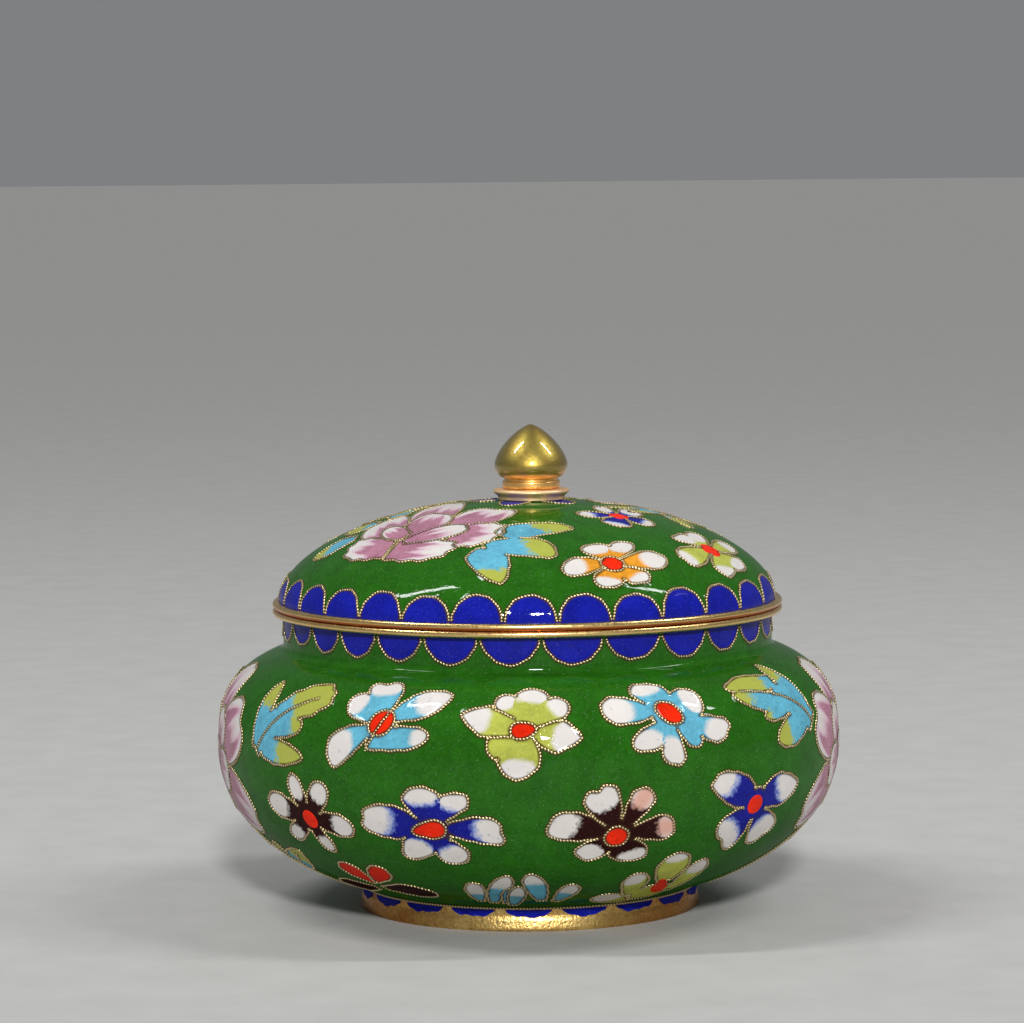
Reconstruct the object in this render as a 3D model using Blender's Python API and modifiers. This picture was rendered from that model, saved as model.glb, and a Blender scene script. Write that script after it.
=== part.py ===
"""Covered cloisonne jar: a squat round bowl, a domed lid and a gilt bud finial.

The jar is a spun copper vessel under fused enamel. Plain brass rings close its foot, its mouth
and the edge of its lid, and the lid lifts off an upstanding lip. Every piece is turned about
the Z axis. The origin is the middle of the underside, on the surface that the jar stands on.
Lengths are in metres, and a profile is a list of (radius, height) points.
"""
import math

import bpy

# Bowl, from the table up
FOOT_RING_HEIGHT = 0.00225
FOOT_RING_WIDTH = 0.0022
FOOT_RADIUS = 0.02735
FOOT_FLARE = 0.0002
FOOT_BAND_HEIGHT = 0.00135
UNDER_RISE = 0.0239
BELLY_RADIUS = 0.0501
SHOULDER_RISE = 0.0144
NECK_RADIUS = 0.0396
NECK_HEIGHT = 0.0050
BOWL_WALL = 0.0022

# How round the bowl is below and above its widest circle
UNDER_CENTRE = 0.0050
UNDER_FULLNESS = 2.47
UNDER_TAPER = 1.87
SHOULDER_CENTRE = 0.0222
SHOULDER_FULLNESS = 2.68

# Brass rings that meet at the seam between bowl and lid, proud of the lid's edge
RIM_PROUD = 0.0008
MOUTH_RING_HEIGHT = 0.0009
LID_RING_HEIGHT = 0.0007
SEAM = 0.0004
LIP_RISE = 0.0024
LIP_WALL = 0.0008

# Lid, a little wider than the neck
LID_OVERHANG = 0.0006
LID_RISE = 0.0160
LID_WALL = 0.0018
LID_FULLNESS = 1.84
LID_PLAY = 0.0007

# Collar and finial on top of the lid
COLLAR_RADIUS = 0.0061
COLLAR_FOOT_RADIUS = 0.0054
COLLAR_HEIGHT = 0.00105
FINIAL_NECK_RADIUS = 0.00466
FINIAL_NECK_HEIGHT = 0.00115
FINIAL_GROOVE = 0.00026
BUD_RADIUS = 0.0059
BUD_DEPTH = 0.0025
BUD_RISE = 0.00645
BUD_POINT = 1.52
BUD_SWELL = 0.72

# How far to the right of the axis the collar and the finial were fixed, by hand
FINIAL_OFFSET = 0.0008

# Space left between pieces that touch, and the small roundings of the brass
GAP = 0.0003
EDGE = 0.00025

# Facets round each turned piece
SEGMENTS = 56
SMALL_SEGMENTS = 32

# Heights over the table, worked out from the sizes above
BAND_BOTTOM = FOOT_RING_HEIGHT + GAP
UNDER_HEIGHT = BAND_BOTTOM + FOOT_BAND_HEIGHT
BELLY_HEIGHT = UNDER_HEIGHT + UNDER_RISE
SHOULDER_HEIGHT = BELLY_HEIGHT + SHOULDER_RISE
NECK_TOP = SHOULDER_HEIGHT + NECK_HEIGHT
MOUTH_RING_BOTTOM = NECK_TOP + GAP
MOUTH_RING_TOP = MOUTH_RING_BOTTOM + MOUTH_RING_HEIGHT
LID_RING_BOTTOM = MOUTH_RING_TOP + SEAM
LID_RING_TOP = LID_RING_BOTTOM + LID_RING_HEIGHT
LID_BOTTOM = LID_RING_TOP + GAP
COLLAR_BOTTOM = LID_BOTTOM + LID_RISE + GAP
FINIAL_BOTTOM = COLLAR_BOTTOM + COLLAR_HEIGHT + GAP
BUD_BOTTOM = FINIAL_BOTTOM + FINIAL_NECK_HEIGHT

# Radii shared by pieces that fit together
FOOT_WALL_RADIUS = FOOT_RADIUS - FOOT_FLARE
FOOT_INNER_RADIUS = FOOT_RADIUS - FOOT_RING_WIDTH
LID_RADIUS = NECK_RADIUS + LID_OVERHANG
RIM_RADIUS = LID_RADIUS + RIM_PROUD
LID_INNER_RADIUS = LID_RADIUS - LID_WALL
LIP_RADIUS = LID_INNER_RADIUS - LID_PLAY
LIP_INNER_RADIUS = LIP_RADIUS - LIP_WALL


def clear_scene():
    """Remove every object, so that the jar is alone."""
    for item in list(bpy.data.objects):
        bpy.data.objects.remove(item, do_unlink=True)


def flank(widest, narrow, centre, climb, fullness, taper, steps):
    """Points of a superellipse quarter, from the widest circle to a narrower one.

    The radius is centre + (widest - centre) * cos(a)^(2 / taper) and the height gained grows
    with sin(a)^(2 / fullness). The angle a runs from 0 to where the radius is narrow.
    """
    share = (narrow - centre) / (widest - centre)
    last = math.acos(share ** (taper / 2))
    full_climb = climb / math.sin(last) ** (2 / fullness)
    points = []
    for step in range(steps + 1):
        angle = last * step / steps
        radius = centre + (widest - centre) * math.cos(angle) ** (2 / taper)
        height = full_climb * math.sin(angle) ** (2 / fullness)
        points.append((radius, height))
    return points


def dome(radius, rise, fullness, steps):
    """Points from the dome's top on the axis down to its edge, the edge at height 0."""
    points = []
    for step in range(steps + 1):
        angle = math.pi / 2 * (1 - step / steps)
        points.append((radius * math.cos(angle), rise * math.sin(angle) ** (2 / fullness)))
    points[0] = (0.0, rise)
    return points


def inset(points, wall):
    """The run of points moved by one wall thickness towards its right-hand side."""
    normals = []
    for start, end in zip(points, points[1:]):
        run = end[0] - start[0]
        drop = end[1] - start[1]
        length = math.hypot(run, drop)
        normals.append((drop / length, -run / length))
    moved = []
    for index, point in enumerate(points):
        before = normals[max(index - 1, 0)]
        after = normals[min(index, len(normals) - 1)]
        spread = 1 + before[0] * after[0] + before[1] * after[1]
        along_x = wall * (before[0] + after[0]) / spread
        along_z = wall * (before[1] + after[1]) / spread
        moved.append((point[0] + along_x, point[1] + along_z))
    return moved


def round_edge(radius, top, bottom, depth, steps):
    """A rounded outer edge from top to bottom, reaching the radius at half height."""
    middle = (top + bottom) / 2
    half = (top - bottom) / 2
    points = []
    for step in range(steps + 1):
        angle = math.pi / 2 - math.pi * step / steps
        reach = radius - depth + depth * math.cos(angle)
        points.append((reach, middle + half * math.sin(angle)))
    return points


def bowl_profile():
    """Inner floor, inner wall, lip of the neck, outer wall, foot band and recessed underside."""
    shoulder = flank(BELLY_RADIUS, NECK_RADIUS, SHOULDER_CENTRE, SHOULDER_RISE,
                     SHOULDER_FULLNESS, SHOULDER_FULLNESS, 6)
    under = flank(BELLY_RADIUS, FOOT_WALL_RADIUS, UNDER_CENTRE, UNDER_RISE,
                  UNDER_FULLNESS, UNDER_TAPER, 8)
    outer = [(NECK_RADIUS, NECK_TOP)]
    outer += [(radius, BELLY_HEIGHT + climb) for radius, climb in reversed(shoulder)]
    outer += [(radius, BELLY_HEIGHT - climb) for radius, climb in under[1:]]
    inner = inset(outer, BOWL_WALL)
    floor = inner[-1][1]
    underside = floor - BOWL_WALL
    foot = [(FOOT_WALL_RADIUS, BAND_BOTTOM), (FOOT_INNER_RADIUS, BAND_BOTTOM),
            (FOOT_INNER_RADIUS, underside), (0.0, underside)]
    return [(0.0, floor)] + inner[::-1] + outer + foot


def foot_ring_profile():
    """Plain brass foot, slightly wider at the table."""
    outer_top = FOOT_WALL_RADIUS
    outer_bottom = FOOT_RADIUS
    return [(outer_top - EDGE, FOOT_RING_HEIGHT),
            (outer_top, FOOT_RING_HEIGHT - EDGE),
            (outer_bottom, EDGE),
            (outer_bottom - EDGE, 0.0),
            (FOOT_INNER_RADIUS + EDGE, 0.0),
            (FOOT_INNER_RADIUS, EDGE),
            (FOOT_INNER_RADIUS, FOOT_RING_HEIGHT)]


def mouth_ring_profile():
    """Rounded brass ring on the neck, with the upstanding lip that locates the lid."""
    lip_top = MOUTH_RING_TOP + LIP_RISE
    lip = [(LIP_INNER_RADIUS, lip_top - EDGE),
           (LIP_INNER_RADIUS + EDGE, lip_top),
           (LIP_RADIUS - EDGE, lip_top),
           (LIP_RADIUS, lip_top - EDGE),
           (LIP_RADIUS, MOUTH_RING_TOP)]
    edge = round_edge(RIM_RADIUS, MOUTH_RING_TOP, MOUTH_RING_BOTTOM, MOUTH_RING_HEIGHT / 2, 4)
    return lip + edge + [(LIP_INNER_RADIUS, MOUTH_RING_BOTTOM)]


def lid_ring_profile():
    """Rounded brass ring under the lid's edge."""
    edge = round_edge(RIM_RADIUS, LID_RING_TOP, LID_RING_BOTTOM, LID_RING_HEIGHT / 2, 4)
    return edge + [(LID_INNER_RADIUS, LID_RING_BOTTOM), (LID_INNER_RADIUS, LID_RING_TOP)]


def lid_profile():
    """Outer dome from the axis down, the flat edge, then the inner dome back to the axis."""
    outer = dome(LID_RADIUS, LID_RISE, LID_FULLNESS, 9)
    inner = dome(LID_INNER_RADIUS, LID_RISE - LID_WALL, LID_FULLNESS, 8)
    points = [(radius, LID_BOTTOM + rise) for radius, rise in outer]
    points += [(radius, LID_BOTTOM + rise) for radius, rise in reversed(inner)]
    return points


def collar_profile():
    """Low brass washer under the finial, narrowing towards the lid."""
    top = COLLAR_BOTTOM + COLLAR_HEIGHT
    return [(0.0, top),
            (COLLAR_RADIUS - EDGE, top),
            (COLLAR_RADIUS, top - EDGE),
            (COLLAR_RADIUS, top - EDGE - EDGE),
            (COLLAR_FOOT_RADIUS, COLLAR_BOTTOM),
            (0.0, COLLAR_BOTTOM)]


def finial_profile():
    """Pointed bud over a groove and a short straight neck, from the tip down.

    At a share of the rise from the widest circle to the tip, the bud's radius is
    BUD_RADIUS * (1 - share^BUD_POINT)^BUD_SWELL, with the steps closest at the tip.
    """
    widest = BUD_BOTTOM + BUD_DEPTH
    groove_radius = FINIAL_NECK_RADIUS - FINIAL_GROOVE
    points = []
    for step in range(9):
        share = 1 - (step / 8) ** 1.5
        radius = BUD_RADIUS * (1 - share ** BUD_POINT) ** BUD_SWELL
        points.append((radius, widest + BUD_RISE * share))
    lower = flank(BUD_RADIUS, groove_radius, 0.0, BUD_DEPTH - FINIAL_GROOVE, 2.2, 4.0, 4)
    points += [(radius, widest - drop) for radius, drop in lower[1:]]
    points += [(groove_radius, BUD_BOTTOM),
               (FINIAL_NECK_RADIUS, BUD_BOTTOM - FINIAL_GROOVE),
               (FINIAL_NECK_RADIUS, FINIAL_BOTTOM + EDGE),
               (FINIAL_NECK_RADIUS - EDGE, FINIAL_BOTTOM),
               (0.0, FINIAL_BOTTOM)]
    return points


def make_material(name, colour, roughness, metallic):
    """One Principled material with the piece's colour."""
    material = bpy.data.materials.new(name)
    material.use_nodes = True
    shader = material.node_tree.nodes["Principled BSDF"]
    shader.inputs["Base Color"].default_value = (*colour, 1.0)
    shader.inputs["Roughness"].default_value = roughness
    shader.inputs["Metallic"].default_value = metallic
    material.diffuse_color = (*colour, 1.0)
    return material


def turned(name, profile, is_loop, segments, material, collection):
    """A solid of revolution: the profile stands at +X and a Screw modifier turns it about Z."""
    count = len(profile)
    points = [(radius, 0.0, height) for radius, height in profile]
    edges = [(index, index + 1) for index in range(count - 1)]
    if is_loop:
        edges.append((count - 1, 0))
    mesh = bpy.data.meshes.new(name)
    mesh.from_pydata(points, edges, [])
    mesh.materials.append(material)
    piece = bpy.data.objects.new(name, mesh)
    collection.objects.link(piece)
    screw = piece.modifiers.new("Turn", "SCREW")
    screw.axis = "Z"
    screw.angle = math.tau
    screw.steps = segments
    screw.render_steps = segments
    screw.use_merge_vertices = True
    screw.merge_threshold = 0.00001
    screw.use_smooth_shade = True
    return piece


def build():
    """Make every piece of the jar in its own collection."""
    clear_scene()
    collection = bpy.data.collections.new("cloisonne_jar")
    bpy.context.scene.collection.children.link(collection)

    green = make_material("green_enamel", (0.012, 0.085, 0.045), 0.18, 0.0)
    lid_green = make_material("lid_green_enamel", (0.012, 0.085, 0.045), 0.18, 0.0)
    mouth_brass = make_material("mouth_brass", (0.62, 0.42, 0.17), 0.32, 1.0)
    rim_brass = make_material("lid_rim_brass", (0.62, 0.42, 0.17), 0.32, 1.0)
    foot_brass = make_material("foot_brass", (0.55, 0.36, 0.16), 0.42, 1.0)
    collar_brass = make_material("collar_brass", (0.60, 0.36, 0.18), 0.38, 1.0)
    bud_brass = make_material("bud_brass", (0.60, 0.46, 0.20), 0.22, 1.0)

    turned("bowl", bowl_profile(), False, SEGMENTS, green, collection)
    turned("foot_ring", foot_ring_profile(), True, SEGMENTS, foot_brass, collection)
    turned("mouth_ring", mouth_ring_profile(), True, SEGMENTS, mouth_brass, collection)
    turned("lid_ring", lid_ring_profile(), True, SEGMENTS, rim_brass, collection)
    turned("lid", lid_profile(), False, SEGMENTS, lid_green, collection)
    collar = turned("finial_collar", collar_profile(), False, SMALL_SEGMENTS, collar_brass,
                    collection)
    finial = turned("finial", finial_profile(), False, SMALL_SEGMENTS, bud_brass, collection)
    for piece in (collar, finial):
        piece.location.x = FINIAL_OFFSET


build()
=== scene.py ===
"""Looks of the cloisonne jar: fused enamel, twisted gilt wires, brass rims, floor and lights.

Lengths in the tables are millimetres. On the jar a place is given by its azimuth in degrees
(0 faces the camera, positive to the viewer's right) and its run, the millimetres travelled
down the turned outline from the top of the neck on the bowl, or from the crown on the lid.
"""
import math
from collections import namedtuple

import bpy
import numpy as np
from mathutils import Matrix


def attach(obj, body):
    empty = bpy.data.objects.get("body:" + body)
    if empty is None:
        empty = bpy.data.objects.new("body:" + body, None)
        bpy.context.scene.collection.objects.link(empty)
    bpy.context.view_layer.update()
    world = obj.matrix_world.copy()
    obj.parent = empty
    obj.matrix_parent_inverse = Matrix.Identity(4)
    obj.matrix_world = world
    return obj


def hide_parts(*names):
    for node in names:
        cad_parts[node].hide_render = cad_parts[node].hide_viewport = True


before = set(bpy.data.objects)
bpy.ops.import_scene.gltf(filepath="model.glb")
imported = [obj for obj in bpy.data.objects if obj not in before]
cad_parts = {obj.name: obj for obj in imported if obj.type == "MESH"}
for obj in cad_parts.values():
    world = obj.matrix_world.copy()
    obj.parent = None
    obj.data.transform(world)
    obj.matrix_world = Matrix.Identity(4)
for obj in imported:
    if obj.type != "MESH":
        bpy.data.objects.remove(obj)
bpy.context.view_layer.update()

bl_info = {
    "name": "Cloisonne jar",
    "version": (1, 0, 0),
    "blender": (4, 5, 0),
    "location": "View3D > Sidebar > Jar",
    "description": "Enamelled copper jar with a domed lid, wire-edged blossoms and gilt rims",
    "category": "Add Mesh",
}

MM = 0.001
BODY = "root"

# Heights and radii of the turned solids, in mm, as the part's source has them
BELLY_RADIUS = 50.1
BELLY_HEIGHT = 27.8
NECK_RADIUS = 39.6
NECK_TOP = 47.2
SHOULDER_RISE = 14.4
SHOULDER_CENTRE = 22.2
SHOULDER_FULLNESS = 2.68
FOOT_WALL = 27.15
FOOT_RADIUS = 27.35
FOOT_INNER = 25.15
FOOT_TOP = 1.9
UNDER_RISE = 24.15
UNDER_CENTRE = 5.0
UNDER_FULLNESS = 2.47
UNDER_TAPER = 1.87
BAND_BOTTOM = 2.55
BAND_TOP = 3.75
BOWL_WALL = 2.2
MOUTH_TOP = 48.44
MOUTH_BOTTOM = 47.42
LIP_RADIUS = 37.7
LIP_INNER = 36.9
LIP_TOP = 50.8
LID_RADIUS = 40.2
LID_BOTTOM = 49.8
LID_RISE = 16.0
LID_EDGE = 49.5
LID_WALL = 1.8
LID_FULLNESS = 1.84
LID_RING_TOP = 49.6
LID_RING_BOTTOM = 48.52
RIM_RADIUS = 41.0
COLLAR_TOP = 67.2
COLLAR_BOTTOM = 65.5
BUD_BOTTOM = 67.28
BUD_MIDDLE = 71.1
BUD_TIP = 77.5
BUD_RISE = 6.45
BUD_RADIUS = 5.9
BUD_NECK = 4.4
FINIAL_SIDE = 0.8

# Steps of the surfaces: mm along the outlines and loops, points round the jar
TRACK_STEP = .1
LOOP_STEP = .12
JAR_SEGMENTS = 240
RIM_SEGMENTS = 288
# Twisted wire: points round its section, steps for each bead, depth of the twist
WIRE_SIDES = 5
WIRE_STEPS = 4
WIRE_SWING = .38
# Reach of the dark line beside a wire, how far wires stray, and how deep a wire's end may lie
# under the petal that covers it, between joined petals and between petals that overlap
EDGE_REACH = .42
WIRE_STRAY = .075
JOINED_MARGIN = .16
LAID_MARGIN = .10
# Levels of the enamel over the ground's: one petal over the next, a web and a heart
LAYER = .012
WEB_OVER = .016
HEART_OVER = .05
# How many of the bowl's blossoms, those above the lowest row, come again at the back
BACK_BLOSSOMS = 7

# A tip begins at a share of the reach, and across and up are the root's place; blush is 1 on a
# petal with peach on its tip. The swell is where a petal is broadest, as a share of its reach,
# and the root's breadth is a share too. A notch below 0 makes three scallops.
Petal = namedtuple("Petal", "direction reach breadth swell lean roundness root notch tip across"
                   " up blush", defaults=(0, 0, 0))
# Half length and half width, the direction, how drop-like it is, 1 where a wire rings it
Heart = namedtuple("Heart", "length width direction drop ringed")

# Blossoms' petals, in the order of Petal
TURQUOISE_LEFT = (
    (32, 11.5, 2.6, .65, -.5, 1.6, .1, 0, .5),
    (99, 8.4, 2.9, .72, .5, 2.5, .2, .8, .6),
    (148, 7.7, 2.45, .76, 0, 1.6, .3, 0, .58),
    (-162, 10.6, 2.5, .8, 2.3, 2.2, .14, 0, .5, 0, -.6),
    (-2, 10.2, 1.9, .52, .9, 2.3, 1, 0, .72, -2.2, -2.4),
)
TURQUOISE_RIGHT = (
    (172, 11.3, 2.54, .77, .3, 1.4, .1, .4, .5),
    (-121, 8.4, 2.25, .68, -2.9, 1.5, .1, .3, .45),
    (-99, 8.5, 2.06, .8, 1.4, 1.5, .1, .4, .45),
    (-51, 7.2, 1.5, .73, .1, 2, .65, 0, 1.3),
    (-30, 11.1, 2.15, .81, 1.8, 1.6, .1, .5, .58),
    (20, 6.7, 2.96, .63, .2, 1.8, .97, 0, .48),
    (107, 6.9, 2.86, .74, 1.8, 1.4, .79, 0, .58),
)
LIME_FRONT = (
    (117, 7.1, 2.2, .72, 0, 1.8, .55, 0, .58),
    (76, 8, 2.7, .72, 0, 1.8, .8, 0, .62),
    (37, 8.2, 2.2, .76, 0, 1.8, .6, 0, .64),
    (163, 9.8, 2.66, .61, .35, 1.25, .21, 0, .54),
    (-98, 8, 3.3, .6, -.3, 1.45, .45, .3, .56),
    (-145, 6.4, 2.2, .64, 0, 2, .55, 0, 1.1),
    (-12, 9, 2.6, .62, .5, 1.25, .1, 0, .5),
)
AUBERGINE_LEFT = (
    (-8, 8.6, 2.1, .68, 0, 2, .45, 0, .52),
    (55, 7.3, 1.9, .68, 0, 2.2, .5, 0, .5),
    (113, 7.5, 1.6, .66, 0, 2, .5, 0, .44),
    (168, 9.9, 2.2, .7, 0, 1.9, .4, 0, .5),
    (215, 7.7, 1.6, .7, 0, 2, .55, 0, .54),
    (285, 6.8, 1.5, .68, 0, 2, .6, 0, .52),
)
COBALT_LEFT = (
    (170, 12.3, 2.92, .52, .6, 2.1, .1, .8, .56),
    (-127, 8.2, 2.75, .4, -.5, 1.5, .5, .4, .33),
    (-62, 7.75, 2.52, .72, .3, 1.8, .12, .1, .5),
    (5, 11.3, 2.43, .78, -1.3, 2.6, .1, .5, .62),
    (66, 7.9, 2.29, .74, -2.8, 1.5, .1, 0, .58),
    (98, 7.4, 3.07, .74, .9, 1.5, .1, .2, .6),
)
AUBERGINE_RIGHT = (
    (162, 11.1, 2.52, .68, 1.1, 2.8, .1, 0, .6),
    (-136, 7, 2.15, .63, -1, 2.5, .56, .2, .45),
    (-66, 6.7, 2.8, .54, 1.8, 2, .1, .1, .6),
    (10, 9.6, 2.28, .79, -.6, 1.6, .1, .3, .68, 0, 0, 1),
    (62, 9, 2, .8, -.5, 1.5, .1, .2, .58, 0, 0, 1),
    (113, 9.4, 2.78, .8, .5, 1.5, .1, 1.1, .52),
)
COBALT_RIGHT = (
    (142, 11.1, 2.71, .45, 2, 1.8, .39, .8, .58),
    (-136, 8.3, 3.9, .8, 1.5, 1.8, .16, .7, .56),
    (-53, 9, 3.2, .78, .1, 1.8, .1, .6, .44),
    (24, 10.7, 2.9, .56, -2, 1.5, .3, 0, .52),
)
ORANGE_LID = (
    (99, 5.35, 2.65, .75, .1, 1.8, .05, 0, .45, -.3, .6),
    (62, 7.3, 2, .71, -1.5, 1.7, .05, .3, .45, .4, .4),
    (7, 10.2, 2.42, .75, -.7, 1.5, .1, 0, .52),
    (-57, 6.2, 2.1, .72, 1.8, 1.5, .1, 0, .6),
    (-107, 5.7, 2.36, .68, -1.5, 1.7, .1, 0, .58),
    (171, 8.4, 2.26, .67, 2.4, 1.8, .1, .2, .5),
)
LIME_LID = (
    (101, 5.3, 2.5, .75, 1.3, 2.1, .1, .2, .35, -.4, .6),
    (70, 5.7, 2.2, .75, -.8, 1.8, .1, 0, .35, .4, .4),
    (179, 9.6, 2.4, .72, 1.7, 2.3, .2, .3, .68),
    (-106, 7, 2.63, .68, -1.5, 1.4, .1, 0, .6),
    (-67, 6.7, 2.7, .78, 2.1, 1.5, .1, 0, .55),
    (3, 9.7, 2, .69, -1, 1.9, .15, .2, .62),
)
COBALT_LID = (
    (148, 6.5, 2.1, .75, .6, 1.7, .21, 0, .62),
    (81, 6.5, 1.7, .72, -1.3, 1.9, .1, 0, .4),
    (10, 7.2, 2.1, .7, 0, 1.9, .2, 0, .45),
    (-62, 6, 2.1, .7, 0, 1.8, .25, 0, .68),
    (-142, 6.6, 2.2, .72, 0, 1.8, .25, 0, .68),
)
RED_LOW = (
    (110, 7.1, 2.2, .62, 0, 2, .25, 0, 2, 1, -1.8),
    (50, 7.6, 1.9, .64, 0, 2, .25, 0, 2, 1.8, -1.2),
)
AUBERGINE_LOW = (
    (-2, 9.2, 3, .6, 0, 1.7, .3, 0, 2, 1.4, -3.8),
    (187, 9.5, 3, .6, 0, 1.6, .3, 0, 2, -.5, -4.2),
)
SCROLL_LOW = (
    (97, 9.2, 1.6, .7, 0, 1.9, .35, 0, .42, -6.4, -7),
    (68, 9, 1.6, .7, 0, 1.9, .35, 0, .52, 5, -7),
    (92, 11.6, 1.8, .72, .9, 1.9, .4, 0, .69, 2.9, -6.5),
    (86, 12.8, 1.75, .72, -1.6, 1.9, .4, 0, .62, -4.5, -8),
    (84, 8.6, 1.1, .7, 0, 1.8, .4, 0, 2, -2.6, -8.5),
    (83, 11, 1.4, .7, 0, 1.9, .45, 0, .58, -1.6, -10),
)
LIME_LOW = (
    (95, 9, 3.3, .6, 0, 2, .4, 0, 2, 3, -11),
    (108, 10.4, 2.1, .7, 0, 1.9, .45, 0, .55, -.6, -7),
    (98, 8.7, 2.85, .62, 0, 2, .45, 0, .5, 2.6, -1),
    (83, 11.8, 2.1, .72, 0, 1.9, .4, 0, .6, 6, -6.5),
    (140, 9.6, 2.4, .65, 0, 1.9, .4, 0, .35, 1, -12),
)

ROUND_HEART = Heart(1.9, 1.8, 0, 0, 1)
BARE_HEART = Heart(1.95, 1.85, 0, 0, 0)
LITTLE_HEART = Heart(1.7, 1.5, -60, 0, 0)
OVAL_HEART = Heart(2.35, 1.85, 45, 0, 1)
TURNED_HEART = Heart(2.4, 1.75, -40, .1, 1)
DROP_RIGHT = Heart(2, 1.6, 8, .35, 1)
DROP_LEFT = Heart(2.8, 2.05, 188, .5, 1)
SMALL_HEART = Heart(1.7, 1.65, 0, 0, 0)
LONG_HEART = Heart(3.9, 1.6, 112, .2, 0)

# One blossom: colour family, azimuth, run, web radius, heart, heart's place, petals, and
# its curls of wire as direction, length, bend and start
BOWL_BLOSSOMS = (
    ("turquoise", -27.4, 16.9, 2.6, OVAL_HEART, (0, 0), TURQUOISE_LEFT,
     (-118, 6.9, 0, .8, 1.5)),
    ("lime", -1.1, 17.6, 2.6, DROP_RIGHT, (0, 0), LIME_FRONT,
     (151, 3.6, 0, -1.4, 2), (18, 3.7, 0, 2.1, .5), (181, 3.1, 0, -1.8, -1)),
    ("turquoise", 26.2, 15.6, 3.2, TURNED_HEART, (0, 0), TURQUOISE_RIGHT),
    ("aubergine", -44.1, 33.1, 2.6, LITTLE_HEART, (-.1, -.3), AUBERGINE_LEFT),
    ("cobalt", -18, 33.5, 3.2, DROP_LEFT, (-.4, 0), COBALT_LEFT),
    ("aubergine", 16, 34.7, 3.2, ROUND_HEART, (-.2, -.2), AUBERGINE_RIGHT),
    ("cobalt", 44.9, 31.6, 2.9, SMALL_HEART, (0, 0), COBALT_RIGHT),
    ("red", -41.1, 47.3, 0, None, (0, 0), RED_LOW),
    ("aubergine", -41.1, 47.3, 0, None, (0, 0), AUBERGINE_LOW),
    ("lime", 28.2, 47, 0, LONG_HEART, (3.3, -3.8), LIME_LOW),
)
LID_BLOSSOMS = (
    ("orange", 22.7, 35.3, 1.8, ROUND_HEART, (0, .1), ORANGE_LID),
    ("lime", 61.4, 34.1, 2, BARE_HEART, (0, 0), LIME_LID),
    ("cobalt", 50.1, 19.2, 1.8, SMALL_HEART, (0, 0), COBALT_LID),
)

# One blossom of petals that overlap: colour family, azimuth, run, petals from back to front
BOWL_SCROLLS = (
    ("turquoise", -2.2, 48.1, SCROLL_LOW),
)

# One leaf: azimuth, run, lobes as petals, and its midrib as direction, length, bend and start
BOWL_LEAVES = (
    (-46.7, 18.6, (
        (45, 10, 2.6, .55, 0, 2, .6, 0, 1.4, -10.3, -4.6),
        (82, 12, 1.9, .6, 0, 1.6, .7, 0, .56, -10, -4.5),
        (30, 11.9, 3.3, .62, -.7, 2.4, .6, -.5, .3, -5.3, 1.2),
        (14, 8.6, 1.5, .7, 0, 2.2, .6, 0, .7, -7, -1.8),
        (-4, 10.6, 2.05, .42, .15, 1.6, .66, 0, .4, -8.5, -4.2),
    ), (57, 14.8, -5.2, -9.8, -4.6)),
    (50.5, 16.4, (
        (140, 11, 3, .55, 0, 2, .6, 0, 1.4, 11, -3.9),
        (116, 13.1, 1.95, .5, 0, 1.6, .7, 0, .65, 10.3, -3.2),
        (181, 12.2, 2.15, .58, 0, 1.4, .6, 0, .21, 4.5, 4.4),
        (164, 14.6, 2, .6, 0, 1.8, .6, 0, .74, 7, -1.2),
        (187, 7.8, 1.25, .6, 0, 2, .6, 0, .75, 5.5, -.6),
        (-165, 9.9, 2.4, .55, 0, 1.8, .5, 0, .6, 9.5, -3),
    ), (126, 15.2, 8.8, 11, -3.8)),
    (-61, 46, (
        (30, 12, 2.6, .5, 1, 1.5, .2, 0, .5, -5, -2),
        (75, 8, 1.9, .5, 0, 1.5, .3, 0, .55, -5, -2),
    ), (32, 9, .8, -5, -2)),
    (-66, 46, ((114, 18.6, 1.2, .5, .8, 1.5, .3, 0, .45, 3.2, -9),)),
    (66, 46, ((66, 18.6, 1.2, .5, -.8, 1.5, .3, 0, .45, -3.2, -9),)),
)
LID_LEAVES = (
    (-2.1, 32.5, (
        (42, 10.4, 3.2, .34, -4.4, 3, .52, 0, .62, -3.2, 6.6),
        (17, 10.7, 3.3, .8, -3.6, 1.8, .64, .2, .6, -5.6, 2.2),
        (-84, 9.3, 3.38, .34, 1.7, 1.6, .41, 0, .62, -5.6, 2.4),
    )),
    (-30, 25.5, (
        (152, 8.5, 2.2, .5, .6, 1.7, .5, 0, .5, -18.2, 3.6),
        (120, 8, 1.9, .5, -.6, 1.7, .5, 0, .45, -17.4, 4.6),
    )),
    (-30, 25.5, ((219, 10.5, 2.2, .5, .5, 1.7, .45, 0, .7, -19.8, -4.2),)),
    (-30, 25.5, ((213, 9, 1.9, .5, 0, 1.7, .45, 0, .45, -20.4, .8),)),
    (82, 24.5, ((-139, 8, 1.6, .5, .4, 1.6, .4, 0, .2, 2.6, 2.2),)),
)

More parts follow.
